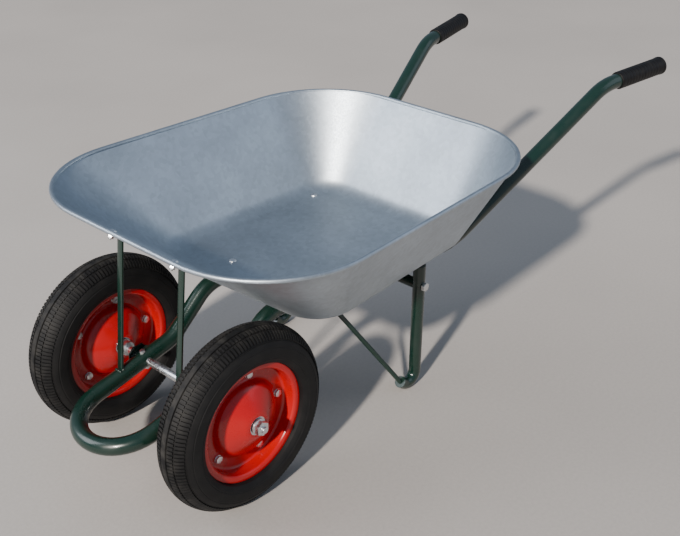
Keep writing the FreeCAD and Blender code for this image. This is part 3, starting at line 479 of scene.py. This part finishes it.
def tube(bm, points, radii, diameter, segments=28, steps=10, closed=False):
    """A round bar or tube along a line with bends, closed at both ends."""
    heading = Vector(points[1]) - Vector(points[0])
    made = bmesh.ops.create_circle(bm, cap_ends=not closed, radius=diameter / 2, segments=segments,
                                   matrix=facing(points[0], heading))
    last = bent_along(bm, made["verts"], points, radii, steps)
    if not closed:
        bmesh.ops.contextual_create(bm, geom=loop_edges(last))


def flat_bar(bm, points, radii, width, thick, soft):
    """A flat bar along a line with bends, its width along Y and its long edges rounded."""
    heading = (Vector(points[1]) - Vector(points[0])).normalized()
    across = Vector((0, 1, 0))
    turn = Matrix((across, heading.cross(across), heading)).transposed().to_4x4()
    place = Matrix.Translation(points[0]) @ turn @ Matrix.Diagonal((width / 2, thick / 2, 1, 1))
    corners = [place @ Vector(corner) for corner in ((1, 1, 0), (-1, 1, 0), (-1, -1, 0), (1, -1, 0))]
    verts, edges = draw(bm, [(*corner, soft) for corner in corners], closed=True, segments=2)
    bmesh.ops.contextual_create(bm, geom=edges)
    last = bent_along(bm, verts, points, radii, 5)
    bmesh.ops.contextual_create(bm, geom=loop_edges(last))


def plate(bm, place, corners, thick, soft):
    """A flat plate with an outline of points in its own plane, and rounded edges."""
    verts, edges = draw(bm, [(*corner, 0, 0) for corner in corners], closed=True)
    face = bmesh.ops.contextual_create(bm, geom=edges)["faces"]
    grown = bmesh.ops.extrude_face_region(bm, geom=face)["geom"]
    raised = [item for item in grown if isinstance(item, bmesh.types.BMVert)]
    bmesh.ops.translate(bm, vec=(0, 0, thick), verts=raised)
    rim = loop_edges(raised) + loop_edges(verts)
    bmesh.ops.transform(bm, matrix=place, verts=raised + verts)
    bmesh.ops.bevel(bm, geom=rim, offset=soft, affect="EDGES", segments=2, profile=0.5, material=-1)


# ---------------------------------------------------------------- tray

FLOOR_LENGTH = 460
FLOOR_HALF = 226
FLOOR_CORNER = 75
FLOOR_ROUND = 26
EDGE_Z = 487.5
EDGE_AHEAD = 78.5
EDGE_LENGTH = 821
EDGE_HALF = 352.5
EDGE_CORNER = 203.5
BEAD_D = 9


def tray_loop(bm, ahead, length, front_half, corner, height, segments=16):
    """The tray's outline at a height: four rounded corners, narrower towards the handles."""
    rear = ahead - length
    rear_half = front_half - length * TRAY_TAPER
    points = [(ahead, front_half), (rear, rear_half), (rear, -rear_half), (ahead, -front_half)]
    return draw(bm, [(*point, height, corner) for point in points], closed=True, segments=segments)


class BARROW_OT_tray(bpy.types.Operator):
    """Presses the tray from one sheet and rolls its edge"""

    bl_idname = "barrow.tray"
    bl_label = "Tray"

    def execute(self, context):
        bm = bmesh.new()
        _, low = tray_loop(bm, FLOOR_AHEAD, FLOOR_LENGTH, FLOOR_HALF, FLOOR_CORNER, FLOOR_Z)
        _, high = tray_loop(bm, EDGE_AHEAD, EDGE_LENGTH, EDGE_HALF, EDGE_CORNER, EDGE_Z)
        floor = bmesh.ops.contextual_create(bm, geom=low)["faces"]
        bmesh.ops.bridge_loops(bm, edges=low + high)
        low = list(floor[0].edges)
        bmesh.ops.bevel(bm, geom=low, offset=FLOOR_ROUND, affect="EDGES", segments=8, profile=0.5,
                        material=-1)
        floor = max(bm.faces, key=lambda face: face.calc_area() if abs(face.normal.z) > 0.99 else 0)
        bmesh.ops.inset_region(bm, faces=[floor], thickness=4)
        for height in (318, 360, 420, 470):
            everything = bm.verts[:] + bm.edges[:] + bm.faces[:]
            bmesh.ops.bisect_plane(bm, geom=everything, plane_co=(0, 0, height), plane_no=(0, 0, 1))
        bmesh.ops.recalc_face_normals(bm, faces=bm.faces)
        bmesh.ops.solidify(bm, geom=bm.faces[:], thickness=SHEET)
        rear = EDGE_AHEAD - EDGE_LENGTH
        rear_half = EDGE_HALF - EDGE_LENGTH * TRAY_TAPER
        corners = [(EDGE_AHEAD, 0), (EDGE_AHEAD, EDGE_HALF), (rear, rear_half),
                   (rear, -rear_half), (EDGE_AHEAD, -EDGE_HALF), (EDGE_AHEAD, 0)]
        points = [(*corner, EDGE_Z) for corner in corners]
        tube(bm, points, [EDGE_CORNER] * 4, BEAD_D, segments=12, steps=16, closed=True)
        keep_piece("pressed_tray", bm, "galvanised", "frame", ["tray"])
        return {"FINISHED"}


class BARROW_OT_tray_bolts(bpy.types.Operator):
    """Puts the round-headed bolts in the tray's floor and front wall, with their nuts"""

    bl_idname = "barrow.tray_bolts"
    bl_label = "Tray Bolts"

    def execute(self, context):
        groups = {"front_floor_bolts": ("front_tray_bolts", FRONT_STRAP, ARM_HALF, 253.0),
                  "rear_floor_bolts": ("rear_tray_bolts", REAR_STRAP, 180.0, 285.0)}
        nuts = bmesh.new()
        for name, (node, ahead, half, seat) in groups.items():
            bm = bmesh.new()
            for side in SIDES.values():
                dome = [(0, 0, 0), (8, 0, 0.3), (8, 1.6, 1.4), (4.4, 4.5, 2.6), (0, 4.5, 0)]
                turned(bm, facing((ahead, side * half, FLOOR_Z + SHEET), (0, 0, 1)), dome, 28)
                stud(bm, facing((ahead, side * half, seat - LOCKNUT), (0, 0, -1)), 8, THREAD_OUT)
                hexagon(nuts, facing((ahead, side * half, seat), (0, 0, -1)), M8_FLATS, LOCKNUT)
            keep_piece(name, bm, "zinc", "frame", [node])
        keep_piece("floor_bolt_nuts", nuts, "zinc", "frame", ["tray_nuts"])
        heads = bmesh.new()
        nuts = bmesh.new()
        for side in SIDES.values():
            seat = wall_point(STRUT_BEND, side) + WALL_UP * 20.4
            dome = [(0, 0, 0), (6.4, 0, 0.3), (6.4, 1.4, 1.2), (3.6, 4.5, 2.2), (0, 4.5, 0)]
            turned(heads, facing(seat - WALL_OUT * SHEET, -WALL_OUT), dome, 24)
            stud(heads, facing(seat + WALL_OUT * (STRUT_THICK + LOCKNUT), WALL_OUT), 6, THREAD_OUT)
            hexagon(nuts, facing(seat + WALL_OUT * STRUT_THICK, WALL_OUT), M6_FLATS, LOCKNUT)
        keep_piece("wall_bolts", heads, "zinc", "frame", ["strut_bolts"])
        keep_piece("wall_bolt_nuts", nuts, "zinc", "frame", ["strut_nuts"])
        return {"FINISHED"}


def wall_point(ahead, side):
    """A point on the front wall's outer face above an arm."""
    return Vector((ahead, side * ARM_HALF, FLOOR_Z + (ahead - FLOOR_AHEAD) * WALL_UP.z / WALL_UP.x))


# ---------------------------------------------------------------- frame

def arm_height(ahead):
    return AXLE_Z - ahead * ARM_SLOPE


def frame_line(side):
    """One side's corners from the handle's end to the nose."""
    return [
        (-1227, side * 279, 535),
        (-1042, side * 246, 526),
        (-624, side * 158.54, RAIL_Z),
        (-263, side * ARM_HALF, RAIL_Z),
        (-162, side * ARM_HALF, RAIL_Z),
        (-68, side * ARM_HALF, arm_height(-68)),
        (193, side * ARM_HALF, arm_height(193)),
    ]


class BARROW_OT_frame(bpy.types.Operator):
    """Bends the frame's tube from one handle round the nose to the other"""

    bl_idname = "barrow.frame"
    bl_label = "Frame Tube"

    def execute(self, context):
        bm = bmesh.new()
        # The nose's two bends all but meet, so that the line between them keeps a length.
        radii = [120, 150, 200, 80, 70, ARM_HALF - 0.02]
        line = frame_line(1) + frame_line(-1)[::-1]
        tube(bm, line, radii + radii[::-1], TUBE_D, segments=36, steps=12)
        nodes = ["left_frame_tube", "right_frame_tube", "nose_loop"]
        keep_piece("bent_frame", bm, "frame_green", "frame", nodes)
        return {"FINISHED"}


class BARROW_OT_welds(bpy.types.Operator):
    """Lays the weld beads that join the frame's pieces"""

    bl_idname = "barrow.welds"
    bl_label = "Weld Beads"

    def execute(self, context):
        thick = context.scene.barrow_sizes.weld_d / MM
        bm = bmesh.new()
        for side in SIDES.values():
            for ahead, half in ((FRONT_STRAP, ARM_HALF), (REAR_STRAP, 146.6)):
                for edge in (-15.5, 15.5):
                    weld_across(bm, ahead + edge, side * half, side * 9, 284.5, thick)
            for rise in (-10, 10):
                ends = [(along, side * 97, arm_height(along) + rise) for along in (-17, 17)]
                weld(bm, *ends, thick)
            for ahead in (STRUT_FOOT - 3.5, STRUT_FOOT + 3.5):
                weld_across(bm, ahead, side * ARM_HALF, side * 7, arm_height(ahead) + 15, thick)
            for edge in (-6, 6):
                tie = side * (127.6 + edge)
                weld(bm, (-486, tie, 253.5), (-468, tie, 253.5), thick)
            brace = brace_top(side)
            toward = (leg_line(side)[3] - brace).normalized()
            across = toward.cross(Vector((0, 0, 1))).normalized()
            around = [brace + toward * 16.5 + across * reach for reach in (-5, 5)]
            weld(bm, *around, thick)
        keep_piece("weld_beads", bm, "frame_green", "frame", [])
        return {"FINISHED"}


class BARROW_OT_grips(bpy.types.Operator):
    """Slips a ribbed plastic grip on each handle"""

    bl_idname = "barrow.grips"
    bl_label = "Handle Grips"

    def execute(self, context):
        for name, side in SIDES.items():
            end, bend = [Vector(point) for point in frame_line(side)[:2]]
            heading = (end - bend).normalized()
            profile = [(16, 0, 0), (18.2, 0, 0.6), (19.5, 3, 1.0)]
            for along in range(12, 132, 10):
                profile += [(19.5, along, 0.4), (18.9, along + 1, 0),
                            (18.9, along + 2, 0), (19.5, along + 3, 0.4)]
            profile += [(19.5, 140, 1.0), (20.4, 141.5, 0.8), (20.4, 149, 2.4), (0, 149, 0)]
            bm = bmesh.new()
            turned(bm, facing(end - heading * 145, heading), profile, 40)
            keep_piece(f"{name}_handle_grip", bm, "grip_black", "frame", [f"{name}_grip"])
        return {"FINISHED"}


class BARROW_OT_straps(bpy.types.Operator):
    """Lays the flat straps that carry the tray on the rails"""

    bl_idname = "barrow.straps"
    bl_label = "Cross Straps"

    def execute(self, context):
        soft = context.scene.barrow_sizes.edge_wear / MM
        for name, ahead, half in (("front_strap", FRONT_STRAP, 120), ("rear_strap", REAR_STRAP, 196)):
            corners = [(-15, -half), (15, -half), (15, half), (-15, half)]
            bm = bmesh.new()
            plate(bm, Matrix.Translation((ahead, 0, 285)), corners, 5, soft)
            keep_piece(f"{name}_bar", bm, "frame_green", "frame", [name])
        return {"FINISHED"}


class BARROW_OT_struts(bpy.types.Operator):
    """Bends the flat struts between the arms and the tray's front wall"""

    bl_idname = "barrow.struts"
    bl_label = "Tray Struts"

    def execute(self, context):
        for name, side in SIDES.items():
            foot = Vector((STRUT_FOOT, side * ARM_HALF, arm_height(STRUT_FOOT)))
            bend = wall_point(STRUT_BEND, side) + WALL_OUT * STRUT_THICK / 2
            bm = bmesh.new()
            flat_bar(bm, [foot, bend, bend + WALL_UP * 34], [8], 14, STRUT_THICK, 0.8)
            keep_piece(f"{name}_strut_bar", bm, "frame_green", "frame", [f"{name}_tray_strut"])
        return {"FINISHED"}


def brace_top(side):
    """Where a leg's brace meets its rail's middle line."""
    return Vector((BRACE_TOP, side * BRACE_TOP_HALF, RAIL_Z))


def leg_line(side):
    """One leg's corners from its top to its toe."""
    return [Vector((-476, side * 195, 286)), Vector((-483, side * 187, 12.5)),
            Vector((-451, side * 187, 12.5)), Vector((-436, side * 187, 25))]


class BARROW_OT_legs(bpy.types.Operator):
    """Bends the legs with their caps, braces and cross tube"""

    bl_idname = "barrow.legs"
    bl_label = "Legs"

    def execute(self, context):
        for name, side in SIDES.items():
            line = leg_line(side)
            bm = bmesh.new()
            tube(bm, line, [22, 22], LEG_D, segments=28, steps=8)
            keep_piece(f"{name}_leg_tube", bm, "frame_green", "frame", [f"{name}_leg"])
            bm = bmesh.new()
            disc(bm, facing(line[0], line[0] - line[1]), LEG_D, 2, soft=0.9)
            keep_piece(f"{name}_leg_top", bm, "frame_green", "frame", [f"{name}_leg_cap"])
            bm = bmesh.new()
            tube(bm, [line[3], brace_top(side)], [], 10, segments=16)
            keep_piece(f"{name}_brace_rod", bm, "frame_green", "frame", [f"{name}_leg_brace"])
        bm = bmesh.new()
        ends = [leg_bolt_point(side) for side in SIDES.values()]
        tube(bm, ends, [], 22, segments=28)
        keep_piece("leg_tie_tube", bm, "frame_green", "frame", ["leg_cross_tube"])
        bm = bmesh.new()
        for side in SIDES.values():
            outside = leg_bolt_point(side) + Vector((0, side * 12.8, 0))
            hexagon(bm, facing(outside, (0, side, 0)), 16, 6.4, 0.9)
        keep_piece("leg_bolt_heads", bm, "zinc", "frame", ["leg_bolts"])
        return {"FINISHED"}


def leg_bolt_point(side):
    """Where a leg's middle line is level with the tube between the legs."""
    top, heel = leg_line(side)[:2]
    return top + (heel - top) * ((top.z - 242) / (top.z - heel.z))


class BARROW_OT_axle(bpy.types.Operator):
    """Turns the axle with its plates, collars, washers, nuts and lock bolts"""

    bl_idname = "barrow.axle"
    bl_label = "Axle"

    def execute(self, context):
        soft = context.scene.barrow_sizes.edge_wear / MM
        bm = bmesh.new()
        half = [(8, 0, 0), (8, 240.3, 0.5), (6, 240.3, 0.3), (6, 246.3, 0.8), (0, 246.3, 0)]
        for side in SIDES.values():
            turned(bm, facing((0, 0, AXLE_Z), (0, side, 0)), half, 32)
        keep_piece("axle_rod", bm, "zinc", "frame", ["axle"])
        rings = {"axle_collar_rings": ("axle_collars", 28, 12, 131.7),
                 "inner_washer_rings": ("inner_axle_washers", 30, 3, 143.7),
                 "outer_washer_rings": ("outer_axle_washers", 30, 3, 227.3)}
        for name, (node, diameter, thick, start) in rings.items():
            bm = bmesh.new()
            for side in SIDES.values():
                disc(bm, facing((0, side * start, AXLE_Z), (0, side, 0)), diameter, thick, 16.1)
            keep_piece(name, bm, "zinc", "frame", [node])
        bm = bmesh.new()
        for side in SIDES.values():
            hexagon(bm, facing((0, side * 230.3, AXLE_Z), (0, side, 0)), 24, 10, 0.9)
        keep_piece("axle_end_nuts", bm, "zinc", "frame", ["axle_nuts"])
        outline = [(22, 10), (10, 22), (-10, 22), (-22, 10),
                   (-22, -10), (-10, -22), (10, -22), (22, -10)]
        for name, side in SIDES.items():
            bm = bmesh.new()
            plate(bm, facing((0, side * 99, AXLE_Z), (0, side, 0)), outline, 4, soft)
            keep_piece(f"{name}_axle_seat", bm, "frame_green", "frame", [f"{name}_axle_plate"])
        heads = bmesh.new()
        nuts = bmesh.new()
        for side in SIDES.values():
            middle = Vector((0, side * ARM_HALF, AXLE_Z))
            hexagon(heads, facing(middle + ARM_UP * TUBE_D / 2, ARM_UP), M6_FLATS, 4)
            stud(heads, facing(middle - ARM_UP * (TUBE_D / 2 + LOCKNUT), -ARM_UP), 6, THREAD_OUT)
            hexagon(nuts, facing(middle - ARM_UP * TUBE_D / 2, -ARM_UP), M6_FLATS, LOCKNUT)
        keep_piece("lock_bolt_heads", heads, "zinc", "frame", ["axle_lock_bolts"])
        keep_piece("lock_bolt_nuts", nuts, "zinc", "frame", ["axle_lock_nuts"])
        return {"FINISHED"}


# ---------------------------------------------------------------- wheels

def on_rim(side, angle, radius, offset):
    """A point of a wheel: angle from forwards, distance from the axle and offset to the left."""
    turn = math.radians(angle)
    height = AXLE_Z + radius * math.sin(turn)
    return Vector((radius * math.cos(turn), side * WHEEL_HALF + offset, height))


# The pressed half rim, from its flange to its nose: radius, height and corner radius.
RIM_LINE = [(113.2, 26.6, 0), (113.2, 28.5, 1.0), (100.1, 28.5, 6), (100.1, 1.5, 6), (73, 1.5, 6),
            (67, 17, 7), (24, 40, 5), (20, 40, 0)]
RIM_BOLTS = 5
RIM_BOLT_R = 83
VALVE_ANGLE = 66
VALVE_OFFSET = -12
VALVE_LINE = [(0, 0, 0), (4, 0, 0), (4, 14, 0.8), (3.2, 15, 0.3), (3.2, 19, 0), (3.9, 19.3, 0.4),
              (3.9, 26.6, 0.9), (0, 27, 0)]


class BARROW_OT_rims(bpy.types.Operator):
    """Spins the pressed rims, with their bolts, nuts, hubs and valves"""

    bl_idname = "barrow.rims"
    bl_label = "Rims"

    def execute(self, context):
        for name, side in SIDES.items():
            wheel = f"{name}_wheel"
            middle = (0, side * WHEEL_HALF, AXLE_Z)
            bm = bmesh.new()
            for way in (1, -1):
                turned(bm, facing(middle, (0, way, 0)), RIM_LINE, 72)
            bmesh.ops.recalc_face_normals(bm, faces=bm.faces)
            bmesh.ops.solidify(bm, geom=bm.faces[:], thickness=SHEET)
            halves = [f"{name}_rim_plain_half", f"{name}_rim_valve_half"]
            keep_piece(f"{name}_pressed_rim", bm, "rim_red", wheel, halves)
            heads = bmesh.new()
            nuts = bmesh.new()
            for index in range(RIM_BOLTS):
                angle = 30 + 360 / RIM_BOLTS * index
                outside = facing(on_rim(side, angle, RIM_BOLT_R, SHEET), (0, 1, 0))
                disc(heads, outside, 16, 1.2, steps=24)
                hexagon(heads, outside, M8_FLATS, 5.3)
                behind = on_rim(side, angle, RIM_BOLT_R, -SHEET)
                hexagon(nuts, facing(behind, (0, -1, 0)), M8_FLATS, LOCKNUT)
                end = on_rim(side, angle, RIM_BOLT_R, -SHEET - LOCKNUT)
                stud(heads, facing(end, (0, -1, 0)), 8, THREAD_OUT)
            keep_piece(f"{name}_rim_bolt_heads", heads, "zinc", wheel, [f"{name}_rim_bolts"])
            keep_piece(f"{name}_rim_bolt_nuts", nuts, "zinc", wheel, [f"{name}_rim_nuts"])
            bm = bmesh.new()
            barrel = [(17.5, -40, 0.6), (20, -40, 0.6), (20, 40, 0.6), (17.5, 40, 0.6)]
            turned(bm, facing(middle, (0, 1, 0)), barrel, 40, closed=True)
            keep_piece(f"{name}_hub_barrel", bm, "rim_red", wheel, [f"{name}_hub"])
            bm = bmesh.new()
            root = on_rim(side, VALVE_ANGLE, 104.4, VALVE_OFFSET)
            centre = on_rim(side, VALVE_ANGLE, 0, VALVE_OFFSET)
            turned(bm, facing(root, centre - root), VALVE_LINE, 24)
            keep_piece(f"{name}_valve_stem", bm, "rubber_black", wheel, [f"{name}_valve"])
        return {"FINISHED"}


SECTION_R = 42
SECTION_FROM_AXLE = 133
PITCHES = 72
COLUMNS = 6
PITCH = math.tau / PITCHES


def casing_point(turn, radius):
    """A point on the tyre's round section: turn in degrees from the crown towards the left."""
    turn = math.radians(turn)
    return SECTION_FROM_AXLE + radius * math.cos(turn), radius * math.sin(turn)


def casing_line(depth):
    """The tyre's closed section: rib, grooved tread, ringed wall, bead and inside, then the mirror."""
    groove = SECTION_R - depth
    outside = [(turn, SECTION_R) for turn in (0, 3, 7)]
    outside += [(turn, groove) for turn in (8.5, 11, 19, 27, 30, 38, 46, 54, 57)]
    outside += [(59, 41.4), (66, 42), (72, 42), (74, 41.3), (76, 42), (88, 42), (98, 42), (100, 41.2),
                (102, 41.8), (110, 41), (117, 39.5)]
    half = [casing_point(turn, radius) for turn, radius in outside]
    half += [(114.2, 30.5), (113.9, 27.4), (103, 26.4), (102.2, 19)]
    half += [casing_point(turn, 30) for turn in (135, 110, 85, 60, 30, 0)]
    other = [(radius, -offset) for radius, offset in half[1:-1][::-1]]
    return [(radius, 0, offset, 0) for radius, offset in half + other]


def is_lug(face):
    """Whether a face of the first pitch's tread stands up as part of a block or shoulder lug."""
    middle = face.calc_center_median()
    rise = middle.xy.length - SECTION_FROM_AXLE
    turn = math.degrees(math.atan2(abs(middle.z), rise))
    column = int(abs(math.atan2(middle.y, middle.x)) / PITCH * COLUMNS)
    outer = rise ** 2 + middle.z ** 2 > 36 ** 2
    block = 11 < turn < 27 and column in (0, 1, 3, 4)
    shoulder = 30 < turn < 54 and column in (1, 2, 4, 5)
    return outer and (block or shoulder)


class BARROW_OT_tyres(bpy.types.Operator):
    """Moulds the tyres with a centre rib, blocks and shoulder lugs"""

    bl_idname = "barrow.tyres"
    bl_label = "Tyres"

    def execute(self, context):
        depth = context.scene.barrow_sizes.lug_depth / MM
        for name, side in SIDES.items():
            bm = bmesh.new()
            verts, edges = draw(bm, casing_line(depth), closed=True)
            bmesh.ops.spin(bm, geom=verts + edges, cent=(0, 0, 0), axis=(0, 0, 1), angle=PITCH,
                           steps=COLUMNS, use_merge=False)
            bmesh.ops.recalc_face_normals(bm, faces=bm.faces)
            lugs = [face for face in bm.faces if is_lug(face)]
            bmesh.ops.inset_region(bm, faces=lugs, thickness=0.35, depth=depth, use_boundary=True,
                                   use_even_offset=True)
            everything = bm.verts[:] + bm.edges[:] + bm.faces[:]
            bmesh.ops.spin(bm, geom=everything, cent=(0, 0, 0), axis=(0, 0, 1), angle=math.tau - PITCH,
                           steps=PITCHES - 1, use_duplicate=True)
            place = facing((0, side * WHEEL_HALF, AXLE_Z), (0, 1, 0))
            bmesh.ops.transform(bm, matrix=place, verts=bm.verts)
            keep_piece(f"{name}_tyre_casing", bm, "tyre_black", f"{name}_wheel", [f"{name}_tyre"], 28)
        return {"FINISHED"}


# ---------------------------------------------------------------- hidden nodes and stage

# CAD nodes that stay as they are, with the slot each one takes its material from.
HIDDEN_NODES = {
    "cross_tube_inserts": "bearing_steel",
    "left_bearings": "bearing_steel",
    "right_bearings": "bearing_steel",
    "left_inner_tube": "rubber_black",
    "right_inner_tube": "rubber_black",
}


class BARROW_OT_inner_parts(bpy.types.Operator):
    """Gives the bearings, inserts and inner tubes their finishes"""

    bl_idname = "barrow.inner_parts"
    bl_label = "Inner Parts"

    def execute(self, context):
        for node, slot in HIDDEN_NODES.items():
            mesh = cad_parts[node].data
            mesh.materials.clear()
            mesh.materials.append(finish(SLOTS[slot]))
        return {"FINISHED"}


def soft_box(name, direction, distance, size, watts, colour):
    """A square soft box that shines on the tray from a direction."""
    light = bpy.data.lights.new(name, "AREA")
    light.shape = "SQUARE"
    light.size = size
    light.energy = watts
    light.color = linear(colour)
    box = bpy.data.objects.new(name, light)
    away = Vector(direction).normalized()
    box.location = Vector((0.0, 0.0, 0.4)) + away * distance
    box.rotation_euler = away.to_track_quat("Z", "Y").to_euler()
    bpy.context.scene.collection.objects.link(box)


def far_light(name, direction, spread, strength, colour):
    """An even light over the whole floor from a direction, softened by its spread in degrees."""
    light = bpy.data.lights.new(name, "SUN")
    light.angle = math.radians(spread)
    light.energy = strength
    light.color = linear(colour)
    lamp = bpy.data.objects.new(name, light)
    lamp.rotation_euler = Vector(direction).to_track_quat("Z", "Y").to_euler()
    bpy.context.scene.collection.objects.link(lamp)


FLOOR_REACH = 60.0
CAMERA_PLACE = (1.4785, 1.3005, 1.2642)
CAMERA_AZIMUTH = math.radians(-137.55)
CAMERA_ELEVATION = math.radians(-28.53)
FOCAL_LENGTH = 55.1541


class BARROW_OT_stage(bpy.types.Operator):
    """Sets the pale floor, the key light, the soft boxes and the camera"""

    bl_idname = "barrow.stage"
    bl_label = "Studio"

    def execute(self, context):
        bm = bmesh.new()
        bmesh.ops.create_grid(bm, x_segments=1, y_segments=1, size=FLOOR_REACH)
        mesh = bpy.data.meshes.new("studio_floor")
        bm.to_mesh(mesh)
        bm.free()
        mesh.materials.append(finish("floated_concrete"))
        floor = bpy.data.objects.new("studio_floor", mesh)
        context.scene.collection.objects.link(floor)
        far_light("key_light", (0.81, 0.26, 0.525), 3, 5.9, "#FFF6EC")
        soft_box("tray_box", (0.70, -0.54, 0.47), 4.0, 2.2, 75, "#F6F9FF")
        soft_box("back_box", (-0.61, 0.63, 0.47), 4.5, 3.0, 22, "#E4EBF8")
        world = bpy.data.worlds.new("studio_air")
        world.use_nodes = True
        air = world.node_tree.nodes["Background"]
        air.inputs["Color"].default_value = rgba(linear("#BFD2EC"))
        air.inputs["Strength"].default_value = 0.46
        context.scene.world = world
        lens = bpy.data.cameras.new("studio_camera")
        lens.sensor_width = 36
        lens.lens = FOCAL_LENGTH
        camera = bpy.data.objects.new("studio_camera", lens)
        level = math.cos(CAMERA_ELEVATION)
        ahead = Vector((level * math.cos(CAMERA_AZIMUTH), level * math.sin(CAMERA_AZIMUTH),
                        math.sin(CAMERA_ELEVATION)))
        camera.location = CAMERA_PLACE
        camera.rotation_euler = ahead.to_track_quat("-Z", "Y").to_euler()
        context.scene.collection.objects.link(camera)
        context.scene.camera = camera
        return {"FINISHED"}


OPERATORS = (
    BARROW_OT_tray,
    BARROW_OT_tray_bolts,
    BARROW_OT_frame,
    BARROW_OT_welds,
    BARROW_OT_grips,
    BARROW_OT_straps,
    BARROW_OT_struts,
    BARROW_OT_legs,
    BARROW_OT_axle,
    BARROW_OT_rims,
    BARROW_OT_tyres,
    BARROW_OT_inner_parts,
    BARROW_OT_stage,
)


class BARROW_PT_panel(bpy.types.Panel):
    """Sizes, colours and pieces of the wheelbarrow"""

    bl_idname = "BARROW_PT_panel"
    bl_label = "Wheelbarrow"
    bl_space_type = "VIEW_3D"
    bl_region_type = "UI"
    bl_category = "Wheelbarrow"

    def draw(self, context):
        for group in (context.scene.barrow_sizes, context.scene.barrow_colours):
            for name in group.__annotations__:
                self.layout.prop(group, name)
        for operator in OPERATORS:
            self.layout.operator(operator.bl_idname)


CLASSES = (BarrowSizes, BarrowColours, *OPERATORS, BARROW_PT_panel)


def register():
    for item in CLASSES:
        bpy.utils.register_class(item)
    bpy.types.Scene.barrow_sizes = bpy.props.PointerProperty(type=BarrowSizes)
    bpy.types.Scene.barrow_colours = bpy.props.PointerProperty(type=BarrowColours)


def unregister():
    del bpy.types.Scene.barrow_colours
    del bpy.types.Scene.barrow_sizes
    for item in reversed(CLASSES):
        bpy.utils.unregister_class(item)


def main():
    """Builds every piece and the studio."""
    register()
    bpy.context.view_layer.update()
    for operator in OPERATORS:
        group, name = operator.bl_idname.split(".")
        getattr(getattr(bpy.ops, group), name)()


if __name__ == "__main__":
    main()
